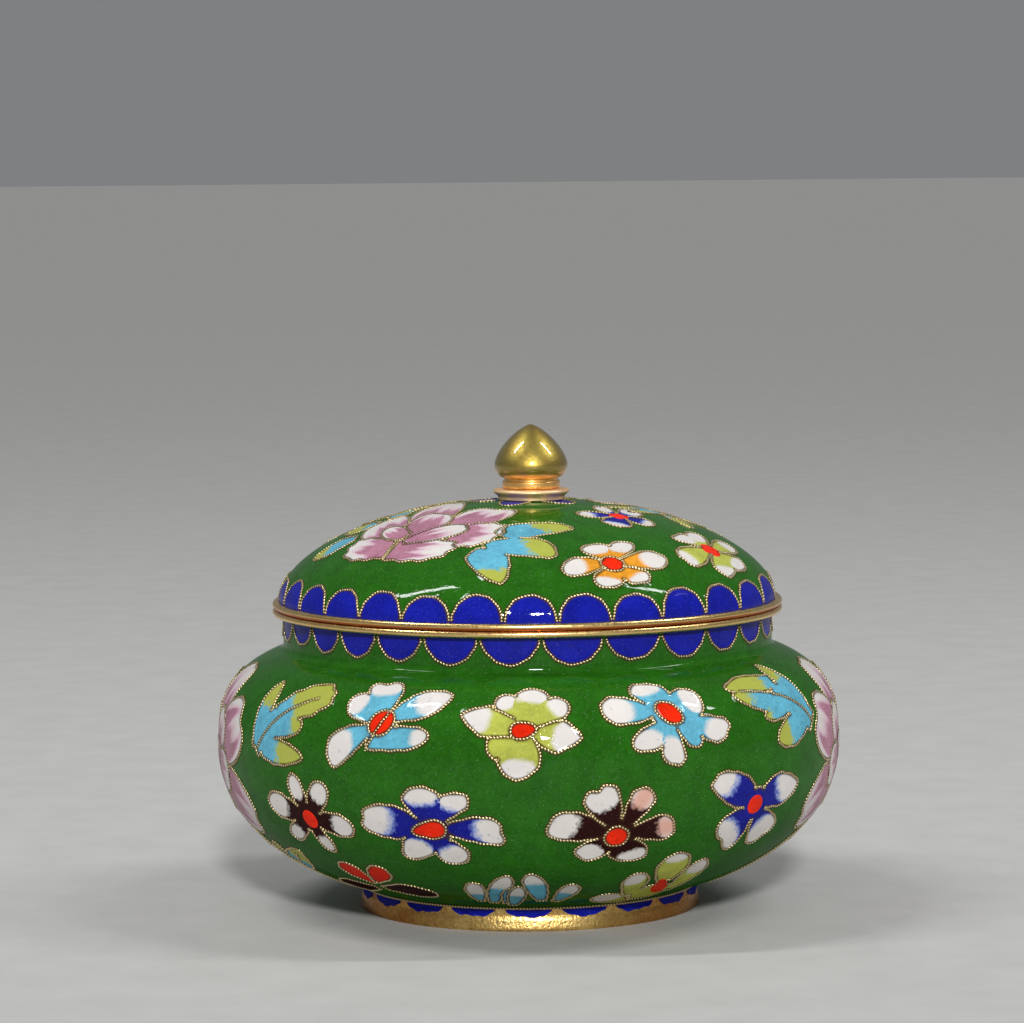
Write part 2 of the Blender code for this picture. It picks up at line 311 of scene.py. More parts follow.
# Peonies' petals from back to front, in the order of Petal
LID_PEONY = (
    (116, 11.2, 5.4, .52, 0, 2.3, .75, .5, .66, -7, 4.6),
    (162, 8.8, 5, .45, 0, 2.4, .8, .5, .6, -11.4, -.9),
    (84, 10, 4.6, .55, 0, 2.3, .75, .7, .72, 1, 3.6),
    (5, 8.2, 5, .45, 0, 2.4, .8, -.5, .66, .9, 0),
    (94, 11, 4.2, .6, 0, 2.2, .3, .4, .85, -6, -2.2),
    (166, 7.2, 2.3, .5, 0, 2.1, .6, 0, .75, -7, -1.9),
    (186, 10.4, 3.4, .55, 0, 2.4, .8, -.7, .68, -7.8, -6.1),
    (2, 11.6, 3.4, .5, .9, 2.3, .9, -.8, .6, -7.3, -6.2),
    (38, 10.9, 2.7, .62, .2, 2.3, .35, .3, .65, -6.2, -3.8),
)
BOWL_PEONY = (
    (78, 15.5, 5.2, .62, 0, 2.1, .3, .8, .7, .5, 2.5),
    (128, 15, 5, .62, 0, 2.1, .3, .8, .7, -2, 1.5),
    (180, 15.5, 5.2, .62, 0, 2.1, .3, .8, .7, -2.5, 0),
    (232, 15.5, 5.2, .62, 0, 2.1, .3, .8, .7, -1.5, -2),
    (283, 15, 5.2, .62, 0, 2.1, .3, .8, .7, 1, -2.5),
    (-30, 16.8, 5.2, .62, 0, 2.2, .3, 1.1, .8, 2, -1),
    (27, 15.6, 5.4, .62, 0, 2.3, .3, 1.2, .8, 2, 1),
    (55, 9, 3.6, .6, 0, 2.1, .3, .4, .68, .5, .5),
    (127, 9, 3.6, .6, 0, 2.1, .3, .4, .68, 0, .5),
    (199, 9, 3.6, .6, 0, 2.1, .3, .4, .68, -.5, 0),
    (271, 9, 3.6, .6, 0, 2.1, .3, .4, .68, 0, -.5),
    (343, 9, 3.6, .6, 0, 2.1, .3, .4, .68, .5, 0),
    (90, 5, 2.4, .55, 0, 2.1, .5, .3, .72, 0, -1.5),
)

def flank(widest, narrow, centre, climb, fullness, taper, steps):
    """Superellipse quarter from the widest circle to a narrower one.

    The radius is centre + (widest - centre) * cos(a)^(2 / taper) and the height gained grows
    with sin(a)^(2 / fullness), for a from 0 to where the radius is narrow.
    """
    share = (narrow - centre) / (widest - centre)
    last = math.acos(share ** (taper / 2))
    angle = np.linspace(0, last, steps)
    radius = centre + (widest - centre) * np.cos(angle) ** (2 / taper)
    full_climb = climb / math.sin(last) ** (2 / fullness)
    return radius, full_climb * np.sin(angle) ** (2 / fullness)


def bowl_outline():
    """Neck, shoulder, belly, underside and foot band, from the top of the neck down."""
    shoulder_radius, shoulder = flank(BELLY_RADIUS, NECK_RADIUS, SHOULDER_CENTRE, SHOULDER_RISE,
                                      SHOULDER_FULLNESS, SHOULDER_FULLNESS, 160)
    under_radius, under = flank(BELLY_RADIUS, FOOT_WALL, UNDER_CENTRE, UNDER_RISE,
                                UNDER_FULLNESS, UNDER_TAPER, 160)
    radius = np.concatenate(([NECK_RADIUS], shoulder_radius[::-1], under_radius[1:], [FOOT_WALL]))
    height = np.concatenate(([NECK_TOP], BELLY_HEIGHT + shoulder[::-1],
                             BELLY_HEIGHT - under[1:], [FOOT_TOP]))
    return radius, height


def lid_outline():
    """Dome of the lid from the crown down: radius with cos(a), height with sin(a)^(2/f)."""
    angle = np.linspace(math.pi / 2, 0, 300)
    height = LID_BOTTOM + LID_RISE * np.sin(angle) ** (2 / LID_FULLNESS)
    return np.append(LID_RADIUS * np.cos(angle), LID_RADIUS), np.append(height, LID_EDGE)


class Track:
    """A turned outline by its run, with the radius, the height and the outward direction there."""

    def __init__(self, radius, height, soften=0):
        """Resample the outline in even steps and round its corners over the softening length."""
        gaps = np.hypot(np.diff(radius), np.diff(height))
        run = np.concatenate(([0], np.cumsum(gaps)))
        self.length = run[-1]
        self.run = np.linspace(0, run[-1], int(run[-1] / TRACK_STEP) + 1)
        self.radius = np.interp(self.run, run, radius)
        self.height = np.interp(self.run, run, height)
        if soften:
            width = int(soften / TRACK_STEP)
            kernel = np.hanning(width + 2)[1:-1]
            kernel = kernel / kernel.sum()
            for part in (self.radius, self.height):
                before = 2 * part[0] - part[width:0:-1]
                after = 2 * part[-1] - part[-2:-width - 2:-1]
                padded = np.concatenate((before, part, after))
                part[:] = np.convolve(padded, kernel, "same")[width:width + len(part)]
        slope_out = np.gradient(self.radius, self.run)
        slope_up = np.gradient(self.height, self.run)
        size = np.hypot(slope_out, slope_up)
        self.out = -slope_up / size
        self.up = slope_out / size

    def radius_at(self, run):
        """Radii at runs."""
        return np.interp(run, self.run, self.radius)

    def facing(self, run):
        """Outward directions at runs, as a part away from the axis and a part upwards."""
        return np.interp(run, self.run, self.out), np.interp(run, self.run, self.up)

    def shifted(self, run, lift):
        """Radii and heights at runs, moved by the lift along the outward direction."""
        out, up = self.facing(run)
        return self.radius_at(run) + lift * out, np.interp(run, self.run, self.height) + lift * up

    def at(self, azimuth, run, lift):
        """Points at azimuths and runs, raised by the lift along the outward direction."""
        radius, height = self.shifted(run, lift)
        angle = np.radians(azimuth)
        return np.stack([radius * np.sin(angle), -radius * np.cos(angle), height], -1)

    def outward(self, azimuth, run):
        """Unit outward directions at azimuths and runs."""
        out, up = self.facing(run)
        angle = np.radians(azimuth)
        return np.stack([out * np.sin(angle), -out * np.cos(angle), up], -1)


BOWL = Track(*bowl_outline(), soften=1.2)
LID = Track(*lid_outline())


class Spot:
    """A place on a track with millimetre axes: across to the viewer's right, and up the track."""

    def __init__(self, track, azimuth, run, mirror=False):
        """Keep the track, the azimuth and the run of the spot's centre."""
        self.track = track
        self.azimuth = azimuth
        self.run = run
        self.side = -1 if mirror else 1

    def polar(self, points):
        """Azimuths and runs of points given across and up."""
        run = self.run - points[..., 1]
        turn = np.degrees(points[..., 0] / self.track.radius_at(run))
        return self.azimuth + self.side * turn, run

    def place(self, points, lift):
        """Points on the jar, raised by the lift."""
        azimuth, run = self.polar(points)
        return self.track.at(azimuth, run, lift)


def petal_to_spot(along, across, petal):
    """Turn along and across of a petal into the spot's axes, with the lean of its tip."""
    shifted = across + petal.lean * (along / petal.reach) ** 2
    angle = math.radians(petal.direction)
    x = petal.across + along * math.cos(angle) - shifted * math.sin(angle)
    y = petal.up + along * math.sin(angle) + shifted * math.cos(angle)
    return np.stack([x, y], -1)


def petal_rows(petal, rise_rows, end_rows):
    """Along and half breadth of a petal's rows from its root to its tip.

    Up to the swell the half breadth grows with a power of the sine of the share travelled;
    beyond it the end closes as a superellipse quarter. A scalloped petal's sides wave too.
    """
    share = np.linspace(0, 1, rise_rows)
    rise = share * petal.swell * petal.reach
    opening = petal.root + (1 - petal.root) * np.sin(share * math.pi / 2) ** 1.3
    angle = np.linspace(0, math.pi / 2, end_rows + 1)[1:]
    power = 2 / petal.roundness
    end = petal.reach * (petal.swell + (1 - petal.swell) * np.sin(angle) ** power)
    closing = np.maximum(np.cos(angle), 0) ** power
    along = np.concatenate((rise, end))
    half = petal.breadth * np.concatenate((opening, closing))
    if petal.notch < 0:
        half = half * (1 - .11 * np.sin(along / petal.reach * 3.2 * math.pi) ** 2)
    return along, half


def pull_notch(along, across, petal):
    """Pull the middle of the end back by the notch, with a bell over the breadth.

    A notch below 0 makes three scallops instead, with the square of a sine over the breadth.
    """
    start = petal.reach * petal.swell
    share = np.clip((along - start) / (petal.reach - start), 0, 1)
    if petal.notch < 0:
        return along + petal.notch * share * np.sin(1.5 * math.pi * across / petal.breadth) ** 2
    return along - petal.notch * share ** 2 * np.exp(-(across / (.4 * petal.breadth)) ** 2)


def petal_outline(petal):
    """Closed outline of a petal in the spot's axes, left side out and right side back."""
    along, half = petal_rows(petal, 30, 50)
    along = pull_notch(along, half, petal)
    left = petal_to_spot(along, half, petal)
    right = petal_to_spot(along, -half, petal)[::-1][1:]
    return np.concatenate((left, right))


def curl_points(direction, length, bend, across, up):
    """Bent line from a place, with its end moved sideways by the bend as the square of the way."""
    way = Petal(direction, length, 0, 0, bend, 0, 0, 0, 0, across, up)
    return petal_to_spot(np.linspace(0, length, 60), np.zeros(60), way)


def heart_outline(heart, place=(0, 0)):
    """Closed oval, narrowed towards its direction where it is drop-like."""
    angle = np.linspace(0, math.tau, 72, endpoint=False)
    x = heart.length * np.cos(angle)
    y = heart.width * np.sin(angle) * (1 - heart.drop * (1 + np.cos(angle)) / 2)
    turn = math.radians(heart.direction)
    return np.stack([place[0] + x * math.cos(turn) - y * math.sin(turn),
                     place[1] + x * math.sin(turn) + y * math.cos(turn)], -1)


def resample(points, step, closed):
    """The same polyline with even steps."""
    if closed:
        points = np.concatenate((points, points[:1]))
    gaps = np.linalg.norm(np.diff(points, axis=0), axis=1)
    run = np.concatenate(([0], np.cumsum(gaps)))
    count = max(int(round(run[-1] / step)), 2)
    even = np.linspace(0, run[-1], count + 1)
    if closed:
        even = even[:-1]
    return np.stack([np.interp(even, run, points[:, k]) for k in range(points.shape[1])], -1)


def inside(points, loop):
    """Which points a closed loop surrounds, by the parity of the sides met to their right."""
    x = points[:, 0, None]
    y = points[:, 1, None]
    ahead = np.roll(loop, -1, axis=0)
    drop = ahead[:, 1] - loop[:, 1]
    spans = (loop[:, 1] > y) != (ahead[:, 1] > y)
    slope = (ahead[:, 0] - loop[:, 0]) / np.where(drop == 0, 1, drop)
    meets = loop[:, 0] + slope * (y - loop[:, 1])
    return (spans & (x < meets)).sum(1) % 2 == 1


def nearest(points, targets):
    """Distance of each point to the closest target, 9 mm at most."""
    best = np.full(len(points), 9.0)
    for start in range(0, len(targets), 400):
        block = targets[start:start + 400]
        gaps = np.hypot(points[:, None, 0] - block[:, 0], points[:, None, 1] - block[:, 1])
        best = np.minimum(best, gaps.min(1))
    return best


def cut_runs(loop, covers, margin):
    """Pieces of a closed loop that no covering loop hides, each with a flag for a whole loop."""
    loop = resample(loop, LOOP_STEP, True)
    keep = np.ones(len(loop), bool)
    for cover in covers:
        hidden = inside(loop, cover)
        if hidden.any():
            deep = nearest(loop[hidden], resample(cover, LOOP_STEP, True)) > margin
            keep[np.flatnonzero(hidden)[deep]] = False
    if keep.all():
        return [(loop, True)]
    if not keep.any():
        return []
    first = np.flatnonzero(~keep)[0]
    loop = np.roll(loop, -first, axis=0)
    keep = np.roll(keep, -first)
    edges = np.diff(np.concatenate(([0], keep.astype(int), [0])))
    pieces = []
    for start, end in zip(np.flatnonzero(edges == 1), np.flatnonzero(edges == -1)):
        if end - start > 6:
            chosen = np.arange(max(start - 1, 0), min(end + 1, len(loop)))
            pieces.append((loop[chosen], False))
    return pieces


class Bundle:
    """Patches of one piece, gathered before they go into a mesh together."""

    def __init__(self):
        """Start with no points, faces or attributes."""
        self.points = []
        self.faces = []
        self.values = {}
        self.count = 0

    def add(self, points, faces, **values):
        """Add points in mm, faces that index them and one value a point for each attribute."""
        self.points.append(points.reshape(-1, 3))
        self.faces.append(faces + self.count)
        for name, value in values.items():
            self.values.setdefault(name, []).append(np.asarray(value, float).reshape(-1))
        self.count += points.size // 3


def grid_faces(rows, columns, around=False, looped=False):
    """Four-cornered faces of a grid of points, closed round its columns or its rows if asked."""
    index = np.arange(rows * columns).reshape(rows, columns)
    if around:
        index = np.concatenate((index, index[:, :1]), axis=1)
    if looped:
        index = np.concatenate((index, index[:1]), axis=0)
    return np.stack([index[:-1, :-1], index[1:, :-1], index[1:, 1:], index[:-1, 1:]],
                    -1).reshape(-1, 4)


def triangles(*corners):
    """Three-cornered faces, each as four corners with the last one doubled."""
    first, second, third = np.broadcast_arrays(*corners)
    return np.stack([first, second, third, third], -1)


def turned_over(faces):
    """The same faces seen from behind, with a doubled corner still last."""
    faces = faces[:, [0, 3, 2, 1]]
    return np.where((faces[:, 1] == faces[:, 2])[:, None], faces[:, [0, 1, 3, 3]], faces)


def make_piece(name, bundle, looks, node=None, slots=None):
    """Put the gathered patches in one mesh without the doubled corners, and ride it on the body.

    The piece takes its finish from the slot, and stands for the solid's node where it has one.
    """
    points = np.concatenate(bundle.points) * MM
    faces = np.concatenate(bundle.faces)
    mesh = bpy.data.meshes.new(name)
    triangle = faces[:, 3] == faces[:, 2]
    totals = np.where(triangle, 3, 4)
    used = np.ones(faces.shape, bool)
    used[triangle, 3] = False
    corners = faces[used]
    mesh.vertices.add(len(points))
    mesh.vertices.foreach_set("co", points.astype(np.float32).ravel())
    mesh.loops.add(len(corners))
    mesh.loops.foreach_set("vertex_index", corners.astype(np.int32))
    mesh.polygons.add(len(faces))
    starts = np.concatenate(([0], np.cumsum(totals)[:-1]))
    mesh.polygons.foreach_set("loop_start", starts.astype(np.int32))
    mesh.polygons.foreach_set("use_smooth", np.ones(len(faces), bool))
    for material in looks:
        mesh.materials.append(material)
    if slots is not None:
        mesh.polygons.foreach_set("material_index", slots.astype(np.int32))
    for key, parts in bundle.values.items():
        layer = mesh.attributes.new(key, "FLOAT", "POINT")
        layer.data.foreach_set("value", np.concatenate(parts).astype(np.float32))
    mesh.update(calc_edges=True)
    if mesh.validate():
        raise RuntimeError(name + " has faces that Blender had to mend")
    piece = bpy.data.objects.new(name, mesh)
    bpy.context.scene.collection.objects.link(piece)
    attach(piece, BODY)
    if node:
        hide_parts(node)


def turned_patch(outline, segments, side):
    """Outline turned about the axis: point (r sin a, -r cos a, z) for each outline point and angle.

    A point on the axis becomes one pole, and the side moves all to the right. Outlines run so
    that the outside lies on their left when they go down the jar's outer wall.
    """
    angle = np.linspace(0, math.tau, segments, endpoint=False)
    poles = outline[:, 0] == 0
    ring = outline[~poles]
    rows = len(ring)
    points = np.stack([side + ring[:, :1] * np.sin(angle), -ring[:, :1] * np.cos(angle),
                       np.broadcast_to(ring[:, 1:], (rows, segments))], -1).reshape(-1, 3)
    faces = grid_faces(rows, segments, around=True)
    here = np.arange(segments)
    ahead = np.roll(here, -1)
    if poles[0]:
        faces = np.concatenate((faces, triangles(len(points), here, ahead)))
        points = np.concatenate((points, [(side, 0, outline[0, 1])]))
    if poles[-1]:
        low = (rows - 1) * segments
        faces = np.concatenate((faces, triangles(low + here, len(points), low + ahead)))
        points = np.concatenate((points, [(side, 0, outline[-1, 1])]))
    return points, faces


def turned_piece(name, outline, segments, looks, node, side=0.0, spans=None):
    """A turned piece in place of a solid; spans numbers the look of each stretch of the outline."""
    bundle = Bundle()
    bundle.add(*turned_patch(outline, segments, side))
    slots = None
    if spans is not None:
        start = int(outline[0, 0] == 0)
        end = len(spans) - int(outline[-1, 0] == 0)
        slots = np.repeat(np.concatenate((spans[start:end], spans[:start], spans[end:])), segments)
    make_piece(name, bundle, looks, node, slots)


def round_edge(radius, top, bottom, depth):
    """Half of an ellipse from top to bottom, which reaches the radius at half height."""
    angle = np.linspace(math.pi / 2, -math.pi / 2, 17)
    height = (top + bottom) / 2 + (top - bottom) / 2 * np.sin(angle)
    return np.stack([radius - depth + depth * np.cos(angle), height], -1)


def dense(points, step):
    """Outline through the points with straight runs split in even steps."""
    points = np.array(points, float)
    parts = [points[:1]]
    for start, end in zip(points[:-1], points[1:]):
        count = max(int(math.hypot(*(end - start)) / step), 1)
        parts.append(start + (end - start) * np.linspace(0, 1, count + 1)[1:, None])
    return np.concatenate(parts)


# Node helpers for the materials


def noise(tree, place, scale, detail, roughness):
    """Noise texture on a place socket."""
    node = tree.nodes.new("ShaderNodeTexNoise")
    node.inputs["Scale"].default_value = scale
    node.inputs["Detail"].default_value = detail
    node.inputs["Roughness"].default_value = roughness
    tree.links.new(place, node.inputs["Vector"])
    return node.outputs["Fac"]


def share(tree, value, low, high, bottom=0.0, top=1.0):
    """Value mapped from low..high to bottom..top and held there."""
    node = tree.nodes.new("ShaderNodeMapRange")
    for key, number in (("From Min", low), ("From Max", high), ("To Min", bottom), ("To Max", top)):
        node.inputs[key].default_value = number
    tree.links.new(value, node.inputs["Value"])
    return node.outputs["Result"]


def feed(tree, socket, value):
    """Give a socket a number, a colour or another socket."""
    if isinstance(value, (int, float)):
        socket.default_value = value
    elif isinstance(value, tuple):
        socket.default_value = (*value, 1)
    else:
        tree.links.new(value, socket)


def reckon(tree, operation, first, second):
    """Sum, product or the like of two values, sockets or numbers."""
    node = tree.nodes.new("ShaderNodeMath")
    node.operation = operation
    for socket, value in zip(node.inputs, (first, second)):
        feed(tree, socket, value)
    return node.outputs["Value"]


def blend(tree, factor, first, second):
    """Two colours mixed by a factor."""
    node = tree.nodes.new("ShaderNodeMix")
    node.data_type = "RGBA"
    feed(tree, node.inputs["Factor"], factor)
    feed(tree, node.inputs[6], first)
    feed(tree, node.inputs[7], second)
    return node.outputs[2]


def tint(tree, colour, value, low, high, amount, shade):
    """A colour with a shade laid over it, by the amount where the value goes from low to high."""
    return blend(tree, share(tree, value, low, high, 0, amount), colour, shade)


def piece_attribute(tree, name):
    """The value that each point of the piece carries under a name."""
    node = tree.nodes.new("ShaderNodeAttribute")
    node.attribute_name = name
    return node.outputs["Fac"]


def along_axis(tree, place, axis):
    """One coordinate of a place socket."""
    node = tree.nodes.new("ShaderNodeSeparateXYZ")
    tree.links.new(place, node.inputs["Vector"])
    return node.outputs[axis]


def bump(tree, shader, height, strength, distance):
    """Relief from a height socket, given to the shader and handed back."""
    node = tree.nodes.new("ShaderNodeBump")
    node.inputs["Strength"].default_value = strength
    node.inputs["Distance"].default_value = distance
    tree.links.new(height, node.inputs["Height"])
    tree.links.new(node.outputs["Normal"], shader.inputs["Normal"])
    return node.outputs["Normal"]


def new_material(name, shown):
    """Material's tree, its Principled shader and the piece's Object coordinates."""
    material = bpy.data.materials.new(name)
    material.use_nodes = True
    material.diffuse_color = (*shown, 1)
    tree = material.node_tree
    place = tree.nodes.new("ShaderNodeTexCoord").outputs["Object"]
    return tree, tree.nodes["Principled BSDF"], place


def tone(colour, factor):
    """A colour made lighter or darker."""
    return tuple(min(channel * factor, 1) for channel in colour)


def enamel(name, base, tip=None, middle=None, specks=.12, grain=.55, edged=True, mottle=.18,
           coat=.50, fineness=2400):
    """Fused glass enamel: cloudy colour with fine pale specks, a wavy clear top and, along the
    wires, a thin dark line. The tip colour begins where the bloom attribute passes 0, with the
    border broken into grains. The gloss is duller low down, where the jar is rubbed."""
    tree, shader, place = new_material(name, base)
    cloud = noise(tree, place, 260, 3, .6)
    grains = noise(tree, place, fineness, 2, .7)
    fine = noise(tree, place, 5200, 1, .5)
    colour = blend(tree, share(tree, cloud, .3, .7), tone(base, 1 - mottle), tone(base, 1 + mottle))
    sand = noise(tree, place, 1500, 3, .7)
    colour = tint(tree, colour, sand, .44, .30, .60, tone(base, .58))
    colour = tint(tree, colour, sand, .56, .70, .60, tone(base, 1.6))
    if tip is not None:
        bloom = piece_attribute(tree, "bloom")
        centred = reckon(tree, "SUBTRACT", grains, .5)
        broken = reckon(tree, "ADD", bloom, reckon(tree, "MULTIPLY", centred, grain * 2))
        tipped = blend(tree, share(tree, cloud, .3, .75), tone(tip, .90), tip)
        tipped = blend(tree, piece_attribute(tree, "blush"), tipped, (.63, .34, .265))
        if middle is not None:
            colour = tint(tree, colour, broken, -.50, -.16, 1, middle)
        colour = tint(tree, colour, broken, -.22, .28, 1, tipped)
    colour = tint(tree, colour, fine, .66, .80, specks * 3, (.75, .78, .72))
    dark = noise(tree, place, 1500, 1, .5)
    colour = tint(tree, colour, dark, .70, .80, .55, tone(base, .45))
    if edged:
        edge = piece_attribute(tree, "edge")
        colour = tint(tree, colour, edge, .28, .80, .92, (.045, .022, .008))
    tree.links.new(colour, shader.inputs["Base Color"])
    tree.links.new(share(tree, cloud, .3, .7, .16, .30), shader.inputs["Roughness"])
    shader.inputs["Specular IOR Level"].default_value = 0
    gloss = share(tree, along_axis(tree, place, "Z"), .008, .022, coat * .30, coat)
    tree.links.new(gloss, shader.inputs["Coat Weight"])
    shader.inputs["Coat Roughness"].default_value = .035
    shader.inputs["Coat IOR"].default_value = 1.36
    waves = noise(tree, place, 420, 1, .4)
    pits = share(tree, noise(tree, place, 1900, 1, .5), .28, .36, -1, 0)
    height = reckon(tree, "ADD", waves, reckon(tree, "MULTIPLY", pits, .25))
    tree.links.new(bump(tree, shader, height, .35, .00006), shader.inputs["Coat Normal"])


def brass(name, base, wear_and_shade, worn_share, rough=(.20, .36), grainy=0.0, turned=1.0, shaded_hollows=False,
          lacquer=0.0, painted_side_shade=0.0, metallic=1.0, warm=None):
    """Gilt brass: coppery wear in patches, fine lines round the axis from turning, and grains
    where it is pitted. Painted side shade and dark reflection make the metal browner towards the
    left and the right of the jar. Warm holds a colour with the heights, in metres, where it
    starts and where it is full. Painted shade darkens the grooves and flanks where the piece's
    hollow attribute says so."""
    tree, shader, place = new_material(name, base)
    shader.inputs["Metallic"].default_value = metallic
    shader.inputs["Coat Weight"].default_value = lacquer
    shader.inputs["Coat Roughness"].default_value = .05
    patch = noise(tree, place, 130, 3, .65)
    spots = noise(tree, place, 1900, 2, .7)
    colour = tint(tree, base, patch, .42, .68, worn_share, wear_and_shade)
    # Painted shade and dark reflection: the metal turns browner and darker towards the jar's left
    # and right sides
    if painted_side_shade:
        beside = reckon(tree, "ABSOLUTE", along_axis(tree, place, "X"), 0.0)
        uneven = reckon(tree, "ADD", beside, reckon(tree, "MULTIPLY", patch, .012))
        colour = tint(tree, colour, uneven, .015, .029, painted_side_shade, wear_and_shade)
    if warm is not None:
        warmth, start, full = warm
        height = along_axis(tree, place, "Z")
        colour = blend(tree, share(tree, height, full, start, 1, 0), colour, warmth)
    if grainy:
        colour = tint(tree, colour, spots, .48, .66, grainy, tone(wear_and_shade, .42))
    stretch = tree.nodes.new("ShaderNodeMapping")
    stretch.inputs["Scale"].default_value = (1, 1, 28)
    tree.links.new(place, stretch.inputs["Vector"])
    lines = noise(tree, stretch.outputs["Vector"], 160, 3, .6)
    colour = tint(tree, colour, lines, .35, .7, .25, tone(base, .6))
    # Painted shade: darker in the wire's grooves and down its flanks, where the hollow attribute is
    # high
    if shaded_hollows:
        depth = piece_attribute(tree, "hollow")
        colour = tint(tree, colour, depth, .38, .80, .96, (.08, .035, .012))
    tree.links.new(colour, shader.inputs["Base Color"])
    tree.links.new(share(tree, spots, .3, .7, *rough), shader.inputs["Roughness"])
    relief = reckon(tree, "ADD", reckon(tree, "MULTIPLY", lines, turned),
                    reckon(tree, "MULTIPLY", spots, .4 + grainy * 2))
    bump(tree, shader, relief, .5, .00004 + grainy * .00012)


def smooth_step(value):
    """Cubic ease from 0 to 1."""
    value = np.clip(value, 0, 1)
    return value * value * (3 - 2 * value)


def bloom_field(points, petals):
    """How far each point lies beyond the start of the tip colour.

    Each petal says (along / reach - tip) / 0.2 in its own axes, and the petals are averaged
    with weights that fall off as a bell across them, so that cells that overlap agree.
    """
    total = np.zeros(len(points))
    weights = np.full(len(points), 1e-9)
    for petal in petals:
        angle = math.radians(petal.direction)
        x = points[:, 0] - petal.across
        y = points[:, 1] - petal.up
        along = (x * math.cos(angle) + y * math.sin(angle)) / petal.reach
        across = -x * math.sin(angle) + y * math.cos(angle)
        across = across - petal.lean * np.clip(along, 0, None) ** 2
        weight = np.exp(-3.0 * (across / petal.breadth) ** 2) * smooth_step(along * 3 + .15)
        total += weight * (along - petal.tip) / .2
        weights += weight
    return total / weights


class Finish:
    """Lifts and wire sizes in mm, read from the panel's properties."""

    def __init__(self, sizes):
        """Take the sizes in metres as mm. Sunk is where a cell's rim hides under the ground."""
        self.ground = -sizes.enamel_depth / MM
        self.sunk = self.ground - .04
        self.cell = self.ground + .03
        self.rise = sizes.enamel_rise / MM
        self.reach = sizes.rise_reach / MM
        self.wire = sizes.wire_width / MM
        self.pitch = sizes.bead_length / MM
        self.wire_height = sizes.wire_height / MM

    def lift(self, gap):
        """Enamel level at a distance from the wires: it climbs them as a bell."""
        return self.cell + self.rise * np.exp(-(gap / self.reach) ** 2)

    def edge(self, gap):
        """1 at a wire's middle, falling as a bell to almost 0 a millimetre away."""
        return np.exp(-(gap / EDGE_REACH) ** 2)


def lay_cell(cells, spot, flat, rim, faces, near, finish, over, **values):
    """Enamel over flat points: it climbs the wires near it, and its rim dips under the ground."""
    gap = nearest(flat, near)
    lift = np.where(rim, finish.sunk, finish.lift(gap) + over)
    cells.add(spot.place(flat, lift), faces, edge=finish.edge(gap), **values)


def petal_patch(cells, spot, petal, petals, near, finish, layer, streak):
    """Enamel in one petal: rows along it times cosine-spaced columns across it.

    The lift follows the distance to the wires, and the outermost columns dip below the ground
    under the wire, so that the cell has no open edge in sight. A streak above 0 runs the tip
    colour back in strands and along the sides, one below 0 keeps the sides clear of it.
    """
    along, half = petal_rows(petal, 12, 12)
    columns = np.sin(np.linspace(-math.pi / 2, math.pi / 2, 17))
    across = half[:-1, None] * columns
    rows = pull_notch(np.broadcast_to(along[:-1, None], across.shape), across, petal)
    tip_along = pull_notch(along[-1:], np.zeros(1), petal)
    flat = np.concatenate((petal_to_spot(rows, across, petal).reshape(-1, 2),
                           petal_to_spot(tip_along, np.zeros(1), petal)))
    count, width = across.shape
    rim = np.ones(across.shape, bool)
    rim[1:, 1:-1] = False
    low = (count - 1) * width + np.arange(width - 1)
    faces = np.concatenate((grid_faces(count, width), triangles(low, count * width, low + 1)))
    if spot.side > 0:
        faces = turned_over(faces)
    bloom = bloom_field(flat, petals)
    side = np.append(np.tile(columns, count), 0)
    if streak > 0:
        strands = np.sin(side * 5.3 + petal.direction) + np.sin(side * 11.7 + petal.direction * 2.3)
        bloom = .55 * bloom + streak * (1.4 * side ** 6 + .32 * strands)
    elif streak < 0:
        bloom = bloom + streak * np.abs(side) ** 5 * (bloom < 2.2)
    blush = .95 * petal.blush * np.exp(-(side / .8) ** 4)
    lay_cell(cells, spot, flat, np.append(rim, True), faces, near, finish, layer * LAYER,
             bloom=bloom, blush=blush)


def disc_patch(cells, spot, outline, centre, near, finish, over, petals=None):
    """Enamel inside a loop: rings shrunk towards the centre by listed shares, one pole inside."""
    shares = np.array([1, .94, .86, .74, .58, .38, .18])
    flat = centre + shares[:, None, None] * (outline - centre)
    count = len(outline)
    flat = np.concatenate((flat.reshape(-1, 2), [centre]))
    here = np.arange(count)
    low = (len(shares) - 1) * count
    fan = triangles(low + here, len(flat) - 1, low + np.roll(here, -1))
    faces = np.concatenate((grid_faces(len(shares), count, around=True), fan))
    if spot.side > 0:
        faces = turned_over(faces)
    bloom = bloom_field(flat, petals) if petals else np.full(len(flat), -2.0)
    lay_cell(cells, spot, flat, np.arange(len(flat)) < count, faces, near, finish, over,
             bloom=bloom, blush=np.zeros(len(flat)))


def unit(vectors):
    """Vectors brought to the length of 1."""
    return vectors / np.maximum(np.linalg.norm(vectors, axis=1, keepdims=True), 1e-9)


def headings(line, closed):
    """Unit directions along a polyline."""
    if closed:
        return unit(np.roll(line, -1, axis=0) - np.roll(line, 1, axis=0))
    return unit(np.gradient(line, axis=0))


